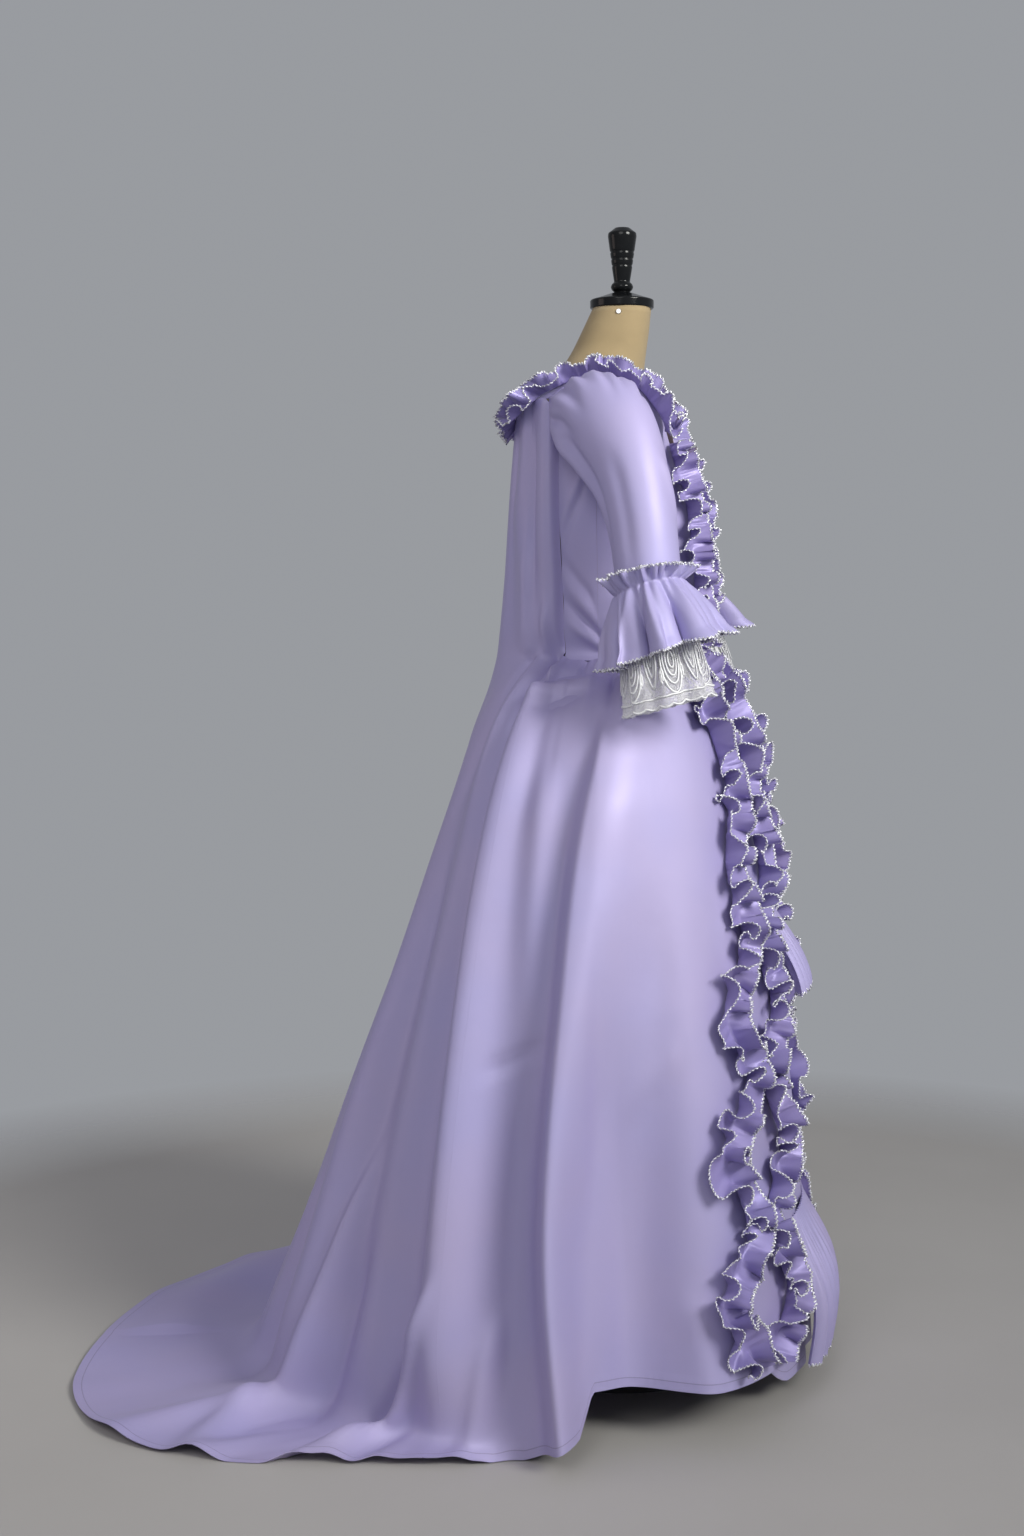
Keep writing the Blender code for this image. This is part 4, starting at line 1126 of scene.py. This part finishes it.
def trim_path(side, sign):
    """Middle of one serpentine strip down the front edge of the skirt, and the way the skirt faces."""
    grid, shares = overskirt_surface(side)
    facing = surface_normals(grid) * -side
    at = np.linspace(TRIM_TOP, TRIM_END, TRIM_STEPS)
    row = np.interp(at, shares, np.arange(len(shares)))
    swing = 0.5 - 0.5 * np.cos(2 * np.pi * LOZENGES * (at - TRIM_TOP) / (TRIM_END - TRIM_TOP))
    apart = TRIM_NARROW + (straight(TRIM_SPREAD, at) - TRIM_NARROW) * swing
    distance = straight(TRIM_CENTRE, at) + sign * apart
    reached = cloth_marks(grid, False)[np.round(row).astype(int), :, 0]
    index = np.sum(reached < distance[:, None], axis=1) - 1
    pick = np.arange(len(at))
    columns = index + (distance - reached[pick, index]) / (reached[pick, index + 1] - reached[pick, index])
    return on_grid(grid, columns, row), on_grid(facing, columns, row)


def robing_path(side):
    """Middle of the strip down one front edge of the bodice, and the way the bodice faces."""
    z = np.linspace(*ROBING_HEIGHTS, ROBING_STEPS)
    angles = opening_angle(z) + ROBING_ANGLE
    path = around(body_radius(angles, z), side * angles, z)
    ahead = around(body_radius(angles + 1, z), side * (angles + 1), z) - path
    return path, unit(np.cross(ahead, np.gradient(path, axis=0)) * -side)


def neck_path():
    """Middle of the neck ruffle, over both shoulders and round the back, and the way it faces."""
    half = np.array(NECK_PATH)
    mirrored = half[-2::-1] * (-1, 1, 1, -1, 1, 1)
    whole = np.concatenate([half, mirrored])
    rows = spline(np.linspace(0, 1, NECK_STEPS), np.linspace(0, 1, len(whole)), whole)
    return rows[:, :3], unit(rows[:, 3:])


# Bodice

FRONT_CREASES = (
    # height at the start and the end, angle at the start and the end, height in mm, width in metres at both
    (1.06, 1.03, 60, 92, -2.2, 0.006, 0.01),
    (1.085, 1.07, 64, 96, 2, 0.006, 0.01),
    (1.11, 1.13, 66, 92, -1.8, 0.006, 0.01),
    (1.3, 1.27, 66, 90, -2, 0.006, 0.012),
    (1.028, 1.08, 82, 116, 5.6, 0.006, 0.009),
    (1.044, 1.112, 84, 116, -5.6, 0.006, 0.009),
    (1.066, 1.14, 88, 116, 3.4, 0.008, 0.012),
    (1.095, 1.175, 90, 118, -2.8, 0.009, 0.014),
    (1.3, 1.19, 92, 116, 3.4, 0.01, 0.016),
    (1.27, 1.15, 94, 118, -3, 0.01, 0.018),
)
SEAM_DIP = 0.0002
BODICE_RISE = 0.022
BODICE_ROWS = 60
BODICE_STEPS = 70
BODICE_SIDE_STEPS = 30
METRES_A_DEGREE = 0.0023
STOMACHER_STEPS = 40
STRAP_ROWS = 40
STRAP_STEPS = 16
STRAP_INNER = -0.45


def bodice_surface(side, low, high, columns):
    """A bodice panel between two lines of angles, from the waist to the neck or armhole edge."""
    share = np.linspace(0, 1, BODICE_ROWS)[:, None]
    middle = BODICE_LOW + share * (NECKLINE[0][1] - BODICE_LOW)
    across = np.linspace(0, 1, columns)[None, :]
    angles = low(middle) * (1 - across) + high * across
    rise = BODICE_RISE * smooth_step(angles, 24, 38) * (1 - smooth_step(angles, 74, 82))
    z = BODICE_LOW + (neckline(angles) + rise - BODICE_LOW) * share
    sunk = SEAM_DIP * np.exp(-(((high - angles) * METRES_A_DEGREE / 0.003) ** 2))
    return around(body_radius(angles, z) - sunk + creases(FRONT_CREASES, z, angles), side * angles, z)


def stomacher_surface():
    """The front panel between the two front edges, ending below the waist in a blunt point."""
    share = np.linspace(0, 1, BODICE_ROWS)[:, None]
    across = np.linspace(-1, 1, STOMACHER_STEPS)[None, :]
    low = WAIST_Z - STOMACHER_POINT * (1 - np.abs(across) ** 1.5) - 0.001
    z = low + (NECKLINE[0][1] - low) * share
    angles = (opening_angle(z) - HALF_SEAM) * across
    drag = 0.0012 * np.sin(z * 95 + 2 * across) * (1 - across**2)
    return around(body_radius(angles, z) + drag, angles, z)


def strap_surface(side):
    rows = strap_rows(np.linspace(0, 1, STRAP_ROWS))
    across = np.linspace(STRAP_INNER, 1, STRAP_STEPS)[None, :, None]
    points = rows[:, None, :3] * (1 - across) + rows[:, None, 3:] * across
    return points * (side, 1, 1)


# Sleeves

SLEEVE_GATHERS = (
    # turn at the armhole and below in degrees, rings from and to, height in mm, width in degrees at both
    (-92, -70, 0.5, 3.4, -7, 5, 10),
    (-66, -56, 0.5, 2.6, 4, 3.5, 8),
    (-50, -42, 0.5, 2.9, -5.5, 3, 8),
    (-33, -28, 0.7, 2.4, 3, 3, 6),
    (-22, -20, 0.6, 2, -3.2, 2.5, 5),
    (-6, -8, 0.8, 2.3, 2.6, 3, 6),
    (6, 2, 0.7, 2.8, -4, 3, 7),
    (24, 20, 0.6, 2.5, -3.6, 3, 7),
    (44, 38, 0.6, 2.2, 2.6, 3, 7),
    (58, 50, 0.5, 2.5, -4, 3, 8),
    (-120, -92, 1, 6, 7, 14, 12),
    (-96, -72, 1.6, 6.6, -6, 10, 10),
    (150, 100, 2.6, 5.6, -4.5, 12, 16),
    (-170, -130, 3, 5.8, -4.5, 14, 16),
    (60, 96, 3.6, 5.4, 3.5, 14, 12),
    (-30, -20, 3.6, 7.4, -3, 12, 16),
)
SLEEVE_ROUND = 128
SLEEVE_DOWN = 72


def armhole_points(count):
    """The sleeve's top edge: over the strap, then down the bodice, just outside both."""
    strap = strap_rows(np.linspace(0, 1, 9))[:, 3:] + (ARMHOLE_LAP * 0.8, 0, ARMHOLE_LAP * 0.6)
    angles = np.linspace(67, 111, 12)
    low = neckline(angles) - 0.002
    under = around(body_radius(angles, low) + ARMHOLE_LAP, angles, low)
    loop = np.concatenate([strap[4::-1], under, strap[:3:-1]])
    length = reach(loop)
    return read_at(np.linspace(0, length[-1], count, endpoint=False), length, loop)


def rings_along(rings, at):
    """Rings of points between those given, by a smooth curve down each line of points."""
    flat = rings.reshape(len(rings), -1)
    return spline(at, np.arange(len(rings)), flat).reshape(len(at), -1, 3)


def sleeve_surface(side):
    """Rings down the arm, with gathers under the shoulder seam and slack folds at the elbow."""
    turn = np.linspace(0, 2 * np.pi, SLEEVE_ROUND, endpoint=False)
    rings = np.stack([armhole_points(SLEEVE_ROUND)] + [oval(row, turn) for row in SLEEVE])
    at = np.linspace(0, len(rings) - 1, SLEEVE_DOWN)
    points = rings_along(rings, at)
    normals = surface_normals(points, wrap=True)
    degrees = np.degrees(np.where(turn > np.pi, turn - 2 * np.pi, turn))[None, :]
    folds = creases(SLEEVE_GATHERS, degrees, at[:, None])
    outward = np.sign(np.sum(normals[40, 0] * (1, 0, 0)))
    return (points + normals * (folds * outward)[..., None]) * (side, 1, 1)


CUFF_SAMPLES = 26
HEADER_ROWS = 10
CONE_ROWS = 30
CONE_DEPTH = 0.0180
CONE_CURL = 0.085
LIP = 0.0034


def cuff_surface(side):
    """A flounce gathered just below its top edge: a frill above the stitching and cones below it."""
    turn = np.linspace(0, 2 * np.pi, CUFF_WAVES * CUFF_SAMPLES, endpoint=False)[None, :]
    last, first = np.array(SLEEVE[-1]), np.array(SLEEVE[-2])
    seam = first + (last - first) * CUFF_SEAM
    header = first + (last - first) * (CUFF_SEAM - HEADER_RISE)
    phase = turn * CUFF_WAVES + np.pi / 4
    ridge = np.sin(phase + 0.5 * np.sin(2 * turn + 1)) + 0.40 * np.sin(2 * phase + 0.9 + np.sin(turn))
    up = np.linspace(1, 0, HEADER_ROWS)[:, None]
    folds = np.sin(2 * phase + 1.0) + 0.9 * np.sin(3 * phase + 2 * np.sin(turn))
    frill = TRIM_CLEAR + HEADER_LEAN * up**0.8 + HEADER_DEPTH * up * folds
    frill = frill + 0.0012 * np.sin(5 * phase) * up * (1 - up) * 4
    above = oval(seam + (header - seam) * up[..., None], turn + 0.04 * up * np.cos(4 * phase), frill)
    down = np.linspace(0, 1, CONE_ROWS + 1)[1:, None]
    cones = TRIM_CLEAR + 0.006 * np.sin(np.pi * down) + CONE_DEPTH * down**0.8 * ridge
    cones = cones * (1 + 0.16 * np.sin(3 * turn + 0.7)) + LIP * smooth_step(down, 0.82, 1.0) * (1 + ridge)
    cones = cones + 0.0026 * np.sin(3 * phase + np.sin(phase)) * (1 - smooth_step(down, 0.05, 0.7))
    curl = CONE_CURL * down**1.5 * np.sin(2 * phase)
    below = oval(seam + (np.array(CUFF_END) - seam) * down[..., None], turn + curl, cones)
    return np.concatenate([above, below]) * (side, 1, 1)


LACE_THICK = 0.0005
LACE_ROWS = 30
LACE_SAMPLES = 21
LACE_SCALLOPS = 20
LACE_SCALLOP = 0.0035


def lace_surface(side, share, turn, lift=0.0):
    """The lace flounce inside the cuff: rings from the sleeve's edge to a scalloped hem."""
    first = np.array(SLEEVE[-1]) + (0, -LACE_DROP, 0, -LACE_DROP, 0, 0, 0)
    phase = turn * CUFF_WAVES + np.pi / 4
    wave = LACE_DEPTH * share * (np.sin(phase) + 0.25 * np.sin(2 * phase + 0.6))
    points = oval(first + (np.array(LACE_END) - first) * share[..., None], turn, wave + lift)
    scallop = LACE_SCALLOP * (np.abs(np.cos(turn * LACE_SCALLOPS / 2)) - 0.5)
    points[..., 2] -= scallop * smooth_step(share, 0.85, 1.0)
    return points * (side, 1, 1)


MOTIF_WIDE = 0.0026
MOTIF_DEEP = 0.0004
MOTIF_LIFT = 0.0016
MEDALLIONS = 6
DROP_AT = 0.27
DROP_TIP = 4.712
LEAF_AT = 0.77
BORDERS = (0.985, 0.90)


def lace_motif_lines():
    """The motifs on one repeat as lines of (along, down): rings in a drop, a leaf, and curling stems.

    Along is a share of the repeat and down a share of the lace's height.
    """
    t = np.linspace(0, 2 * np.pi, 40)
    lines = [(DROP_AT + r * 0.92 * np.cos(t), 0.60 + r * np.sin(t)) for r in (0.07, 0.14, 0.21)]
    drop = 0.27 * (1 + 0.22 * np.cos(t - np.pi / 2))
    tip = 0.10 * np.exp(-(((t - DROP_TIP) / 0.3) ** 2))
    lines.append((DROP_AT + drop * 0.90 * np.cos(t), 0.56 + drop * np.sin(t) - tip))
    s = np.linspace(-1, 1, 24)
    for wide, tall in ((0.15, 0.30), (0.09, 0.20), (0.035, 0.10)):
        half = wide * (1 - s**2) ** 0.8
        lines += [(LEAF_AT + half, 0.52 + tall * s), (LEAF_AT - half, 0.52 + tall * s)]
    s = np.linspace(0, 1, 26)
    curl = 0.10 * (1 - 0.75 * s)
    for middle in (0.52, 0.02):
        lines.append((middle + curl * 0.5 * np.cos(9 * s), 0.28 + curl * np.sin(9 * s)))
        lines.append((middle + curl * 0.4 * np.cos(9 * s + 2), 0.72 + 0.8 * curl * np.sin(9 * s + 2)))
    return lines


def lace_cord(side, turn, down):
    """One raised cord over the lace: a line of points on its surface, lifted, and its four sides."""
    line = lace_surface(side, down, turn, MOTIF_LIFT)
    outward = unit(lace_surface(side, down, turn, 0.01) - line)
    run = unit(np.gradient(line, axis=0))
    return thread(line, unit(np.cross(outward, run)), outward, MOTIF_WIDE / 2, MOTIF_DEEP)


def lace_motif_cords(side):
    """The motifs all round the lace, as flat raised cords on its outer face, and its borders."""
    around_arm = 2 * np.pi / MEDALLIONS
    cords = [
        lace_cord(side, (repeat + along) * around_arm, down)
        for repeat in range(MEDALLIONS)
        for along, down in lace_motif_lines()
    ]
    turn = np.linspace(0, 2 * np.pi, LACE_SCALLOPS * 16)
    return cords + [lace_cord(side, turn, down + 0 * turn) for down in BORDERS]


# Dress form

FORM_SEAM = 0.0007
FORM_ROWS = 90
FORM_STEPS = 80
TURNED_ROWS = 90
TURNED_STEPS = 48


def form_surface():
    """The padded body with its neck: rings squarer than an oval, with a seam down each side."""
    z = np.linspace(FORM_SECTIONS[0][0], FORM_SECTIONS[-1][0], FORM_ROWS)
    half, front, back = spline(z, column(FORM_SECTIONS, 0), np.array(FORM_SECTIONS)[:, 1:]).T[..., None]
    turn = np.linspace(0, 2 * np.pi, FORM_STEPS, endpoint=False)
    power = 2 / FORM_SQUARENESS
    across = np.sign(np.sin(turn)) * np.abs(np.sin(turn)) ** power
    deep = -np.sign(np.cos(turn)) * np.abs(np.cos(turn)) ** power
    groove = np.exp(-((np.sin(turn) / 0.03) ** 2)) * (np.cos(turn) > 0)
    dip = 1 - FORM_SEAM * groove / half
    x = half * across * dip
    y = (front + back) / 2 + (back - front) / 2 * deep * dip
    return np.stack([x, y, z[:, None] + 0 * x], axis=-1)


def closed_tube(name, points, finish, node):
    """A piece through rings of points, with its two ends closed by rings drawn in to their middles."""
    first = points[:1].mean(axis=1, keepdims=True)
    last = points[-1:].mean(axis=1, keepdims=True)
    caps = [first + (points[:1] - first) * k for k in (0.02, 0.6)]
    ends = [last + (points[-1:] - last) * k for k in (0.6, 0.02)]
    rings = np.concatenate([*caps, points, *ends])
    rows, columns = rings.shape[:2]
    corners, _ = grid_faces(rows, columns, True)
    top = (rows - 1) * columns
    fan = [(0, columns - k, columns - k - 1, columns - k - 2) for k in range(1, columns - 2, 2)]
    lid = [(top, top + k, top + k + 1, top + k + 2) for k in range(1, columns - 2, 2)]
    mesh = mesh_of(name, rings.reshape(-1, 3), np.concatenate([corners, np.array(fan + lid)]))
    return add_piece(name, mesh, finish, (node,))


def turned_surface(profile):
    """A profile of (radius, z) carried round the neck's upright axis, its corners a little rounded."""
    line = np.array(profile)
    length = reach(line)
    smooth = read_at(np.linspace(0, length[-1], TURNED_ROWS), length, line)
    smooth[1:-1] = (smooth[:-2] + 2 * smooth[1:-1] + smooth[2:]) / 4
    turn = np.linspace(0, 2 * np.pi, TURNED_STEPS, endpoint=False)
    radius = smooth[:, :1]
    z = smooth[:, 1:] + 0 * turn
    return np.stack([radius * np.cos(turn), NECK_Y + radius * np.sin(turn), z], axis=-1)


# Stage

FLOOR_FADES = (1.368, 1.9)
FLOOR_RINGS = (0.05, 1.0, 2.2)
FLOOR_STEPS = 64
FLOOR_BELOW = 0.0004
WALL_GREY = (0.318, 0.330, 0.352, 1)
CAMERA_AT = (-3.0391, -0.3138, 1.1219)
CAMERA_YAW = 8.8275
CAMERA_PITCH = 4.8932
CAMERA_LENS = 49.87


@material("studio_floor")
def floor_finish(tree, shader):
    """Pale grey studio floor that fades into the wall's grey away from the gown."""
    where = object_place(tree)
    away = add_node(tree, "ShaderNodeVectorMath", {"operation": "LENGTH"}, {0: where}).outputs["Value"]
    fade = remap(tree, away, *FLOOR_FADES, 1.0, 0.0)
    tint = blend(tree, noise(tree, where, 2.2, 4.0), (0.385, 0.368, 0.358), (0.450, 0.432, 0.420))
    set_shader(tree, shader, Alpha=fade, Base_Color=tint, Roughness=0.62, Specular_IOR_Level=0.25)


LIGHTS = (
    # name, place, what it points at, width, watts, spread in degrees, colour
    ("key", (-2.45, -3.30, 3.3), (-0.1, 0.1, 1.45), 2.0, 32, 60, (0.985, 0.985, 0.93)),
    ("camera_fill", (-3.9, 0.3, 3.2), (0.0, 0.1, 0.8), 2.2, 42, 180, (0.98, 0.98, 0.96)),
    ("warm_back", (-0.9, 3.4, 1.6), (0.0, 0.3, 0.7), 1.6, 8, 180, (1.0, 0.82, 0.76)),
)


def add_light(name, place, target, width, watts, spread, colour):
    lamp = bpy.data.lights.new(name, "AREA")
    lamp.shape = "DISK"
    lamp.size = width
    lamp.energy = watts
    lamp.spread = np.radians(spread)
    lamp.color = colour
    made = bpy.data.objects.new(name, lamp)
    made.location = place
    made.rotation_euler = (Vector(target) - Vector(place)).to_track_quat("-Z", "Y").to_euler()
    bpy.context.scene.collection.objects.link(made)


def add_camera():
    """A camera at the right side of the gown, a little above the waist and tilted down."""
    lens = bpy.data.cameras.new("camera")
    lens.lens = CAMERA_LENS
    made = bpy.data.objects.new("camera", lens)
    yaw, pitch = np.radians(CAMERA_YAW), np.radians(CAMERA_PITCH)
    ahead = Vector((np.cos(yaw) * np.cos(pitch), np.sin(yaw) * np.cos(pitch), -np.sin(pitch)))
    made.location = CAMERA_AT
    made.rotation_euler = ahead.to_track_quat("-Z", "Y").to_euler()
    bpy.context.scene.collection.objects.link(made)
    bpy.context.scene.camera = made


# Settings


def length_of(name, description, default):
    return bpy.props.FloatProperty(name=name, description=description, default=default, unit="LENGTH")


def colour_of(name, description, default):
    return bpy.props.FloatVectorProperty(name=name, description=description, subtype="COLOR", default=default)


class GownCloth(bpy.types.PropertyGroup):
    """Sizes of the cloth that a user would change."""

    cloth_thickness: length_of("Cloth thickness", "Thickness of the satin panels", 0.0009)
    ruffle_thickness: length_of("Ruffle thickness", "Thickness of the gathered strips", 0.0007)
    crease_strength: bpy.props.FloatProperty(
        name="Crease strength",
        description="How deep the finer folds of the skirt are",
        default=1.0,
        min=0,
        max=2,
    )


class GownColours(bpy.types.PropertyGroup):
    """Colours of the gown and its form."""

    satin: colour_of("Satin", "Colour of the panels", (0.398, 0.362, 0.600))
    # Ruffles: the satin made darker and more violet, painted shade for the gathered strips.
    ruffle: colour_of("Ruffles", "Colour of the gathered strips", (0.298, 0.258, 0.515))
    braid: colour_of("Braid", "Colour of the metal braid", (0.93, 0.93, 0.97))
    lace: colour_of("Lace", "Colour of the lace", (0.90, 0.90, 0.92))
    linen: colour_of("Linen", "Colour of the form's cover", (0.37, 0.275, 0.148))


# Satin pieces

SIDES = ((1, "left"), (-1, "right"))


def add_panel(node, points, finish=None, wrap=False):
    """One panel of satin in place of its solid."""
    thickness = bpy.context.scene.gown_cloth.cloth_thickness
    finish = finish or lilac_satin()
    add_cloth(f"{node}_cloth", points, thickness, finish, wrap, (node,))


def add_gathered(node, points, finish, edges=(0, -1), wrap=False):
    """A gathered piece of satin in place of its solid, with silver braid along these edge rows."""
    cords = [braid_cord(points[row], points[1 if row == 0 else -2], wrap) for row in edges]
    braid = add_braid(f"{node}_braid", cords)
    thickness = bpy.context.scene.gown_cloth.ruffle_thickness
    add_cloth(f"{node}_cloth", points, thickness, finish, wrap, (node,))


def add_lace(node, side):
    """The lace flounce of one sleeve: its net, and the motifs raised on it."""
    points, corners = joined(lace_motif_cords(side))
    mesh = mesh_of(f"{node}_motifs", points, corners)
    motifs = add_piece(mesh.name, mesh, lace_thread())
    turn = np.linspace(0, 2 * np.pi, CUFF_WAVES * LACE_SAMPLES, endpoint=False)[None, :]
    share = np.linspace(0, 1, LACE_ROWS)[:, None]
    net = lace_surface(side, share + 0 * turn, turn + 0 * share)
    add_cloth(
        f"{node}_net",
        net,
        LACE_THICK,
        lace_net(),
        wrap=True,
        nodes=(node,),
    )


# Operators


class GownStep(bpy.types.Operator):
    """A step in the making of the gown."""

    bl_options = {"REGISTER", "UNDO"}


class GOWN_OT_form(GownStep):
    """Cover the dress form and finish its turned cap, finial, pole and foot"""

    bl_idname = "gown.form"
    bl_label = "Dress form"

    def execute(self, context):
        closed_tube("form_body_cover", form_surface(), linen_cover(), "form_body")
        for node, profile in (("form_neck_cap", CAP_PROFILE), ("form_finial", FINIAL_PROFILE)):
            closed_tube(f"{node}_turned", turned_surface(profile), black_gloss(), node)
        plain = {"form_pole": brushed_steel, "form_pin": brushed_steel, "form_foot": black_enamel}
        for node, finish in plain.items():
            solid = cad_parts[node]
            solid.data.materials.clear()
            solid.data.materials.append(finish())
        return {"FINISHED"}


class GOWN_OT_bodice(GownStep):
    """Make the stomacher, the bodice fronts and sides and the shoulder straps"""

    bl_idname = "gown.bodice"
    bl_label = "Bodice"

    def execute(self, context):
        edge = HALF_SEAM * 0.4
        add_panel("stomacher", stomacher_surface())
        for side, word in SIDES:
            front = bodice_surface(side, lambda z: opening_angle(z) + edge, 90 - edge, BODICE_STEPS)
            add_panel(f"bodice_front_{word}", front)
            back = bodice_surface(side, lambda z: 90 + edge + 0 * z, SACK_ANGLE - edge, BODICE_SIDE_STEPS)
            add_panel(f"bodice_side_{word}", back)
            add_panel(f"shoulder_strap_{word}", strap_surface(side))
        return {"FINISHED"}


class GOWN_OT_skirt(GownStep):
    """Hang the sack back with its train and both sides of the overskirt"""

    bl_idname = "gown.skirt"
    bl_label = "Overskirt and train"

    def execute(self, context):
        add_panel("sack_back", sack_surface(), hemmed_satin())
        for side, word in SIDES:
            add_panel(f"overskirt_{word}", overskirt_surface(side)[0], hemmed_satin())
        return {"FINISHED"}


class GOWN_OT_petticoat(GownStep):
    """Hang the petticoat and its two gathered flounces"""

    bl_idname = "gown.petticoat"
    bl_label = "Petticoat"

    def execute(self, context):
        add_panel("petticoat", petticoat_surface(), hemmed_satin(), wrap=True)
        for node, *sizes in FLOUNCES:
            add_gathered(node, flounce_surface(*sizes), lilac_satin(), edges=(-1,))
        return {"FINISHED"}


class GOWN_OT_trims(GownStep):
    """Lay the gathered strips on the skirt, the bodice and the neckline"""

    bl_idname = "gown.trims"
    bl_label = "Ruffles"

    def execute(self, context):
        for side, word in SIDES:
            for which, sign, phase, lift in (("inner", -1, 0.0, 0.0005), ("outer", 1, np.pi, 0.0012)):
                points = gathered_strip(*trim_path(side, sign), STRIPS["skirt"], phase, lift)
                node = f"skirt_trim_{which}_{word}"
                add_gathered(node, points, ruffle_satin_with_painted_shade())
            points = gathered_strip(*robing_path(side), STRIPS["robing"], lift=0.0020)
            add_gathered(f"robing_{word}", points, ruffle_satin_with_painted_shade())
        points = gathered_strip(*neck_path(), STRIPS["neck"], lift=-0.0003)
        add_gathered("neck_ruffle", points, ruffle_satin_with_painted_shade())
        return {"FINISHED"}


class GOWN_OT_sleeves(GownStep):
    """Set in both sleeves with their satin flounces and lace"""

    bl_idname = "gown.sleeves"
    bl_label = "Sleeves"

    def execute(self, context):
        for side, word in SIDES:
            add_panel(f"sleeve_{word}", sleeve_surface(side), wrap=True)
            add_gathered(f"cuff_flounce_{word}", cuff_surface(side), lilac_satin(), wrap=True)
            add_lace(f"cuff_lace_{word}", side)
        return {"FINISHED"}


class GOWN_OT_stage(GownStep):
    """Set up the floor, the wall's grey, the soft lights and the camera"""

    bl_idname = "gown.stage"
    bl_label = "Stage"

    def execute(self, context):
        turn = np.linspace(0, 2 * np.pi, FLOOR_STEPS, endpoint=False)[None, :]
        radius = np.array(FLOOR_RINGS)[:, None]
        level = 0 * radius * turn - FLOOR_BELOW
        floor = np.stack([radius * np.cos(turn), radius * np.sin(turn), level], axis=-1)
        corners, _ = grid_faces(len(FLOOR_RINGS), FLOOR_STEPS, True)
        middle = np.array([(0, k + 2, k + 1, k) for k in range(1, FLOOR_STEPS - 2, 2)])
        mesh = mesh_of("floor", floor.reshape(-1, 3), np.concatenate([corners, middle])[:, ::-1])
        made = bpy.data.objects.new("floor", mesh)
        made.data.materials.append(floor_finish())
        context.scene.collection.objects.link(made)
        world = bpy.data.worlds.new("studio")
        world.use_nodes = True
        world.node_tree.nodes["Background"].inputs["Color"].default_value = WALL_GREY
        context.scene.world = world
        context.scene.view_settings.view_transform = "Standard"
        for light in LIGHTS:
            add_light(*light)
        add_camera()
        return {"FINISHED"}


class GOWN_PT_steps(bpy.types.Panel):
    """The steps of the gown and its sizes and colours"""

    bl_idname = "GOWN_PT_steps"
    bl_label = "Sack-back ball gown"
    bl_space_type = "VIEW_3D"
    bl_region_type = "UI"
    bl_category = "Gown"

    def draw(self, context):
        for step in STEPS:
            self.layout.operator(step.bl_idname)
        for group in (context.scene.gown_cloth, context.scene.gown_colours):
            for name in group.__annotations__:
                self.layout.prop(group, name)


STEPS = (
    GOWN_OT_form,
    GOWN_OT_bodice,
    GOWN_OT_skirt,
    GOWN_OT_petticoat,
    GOWN_OT_sleeves,
    GOWN_OT_trims,
    GOWN_OT_stage,
)
CLASSES = (GownCloth, GownColours, *STEPS, GOWN_PT_steps)


def register():
    for cls in CLASSES:
        bpy.utils.register_class(cls)
    bpy.types.Scene.gown_cloth = bpy.props.PointerProperty(type=GownCloth)
    bpy.types.Scene.gown_colours = bpy.props.PointerProperty(type=GownColours)


def unregister():
    del bpy.types.Scene.gown_colours
    del bpy.types.Scene.gown_cloth
    for cls in reversed(CLASSES):
        bpy.utils.unregister_class(cls)


def main():
    register()
    bpy.ops.gown.form()
    bpy.ops.gown.bodice()
    bpy.ops.gown.skirt()
    bpy.ops.gown.petticoat()
    bpy.ops.gown.sleeves()
    bpy.ops.gown.trims()
    bpy.ops.gown.stage()


if __name__ == "__main__":
    main()
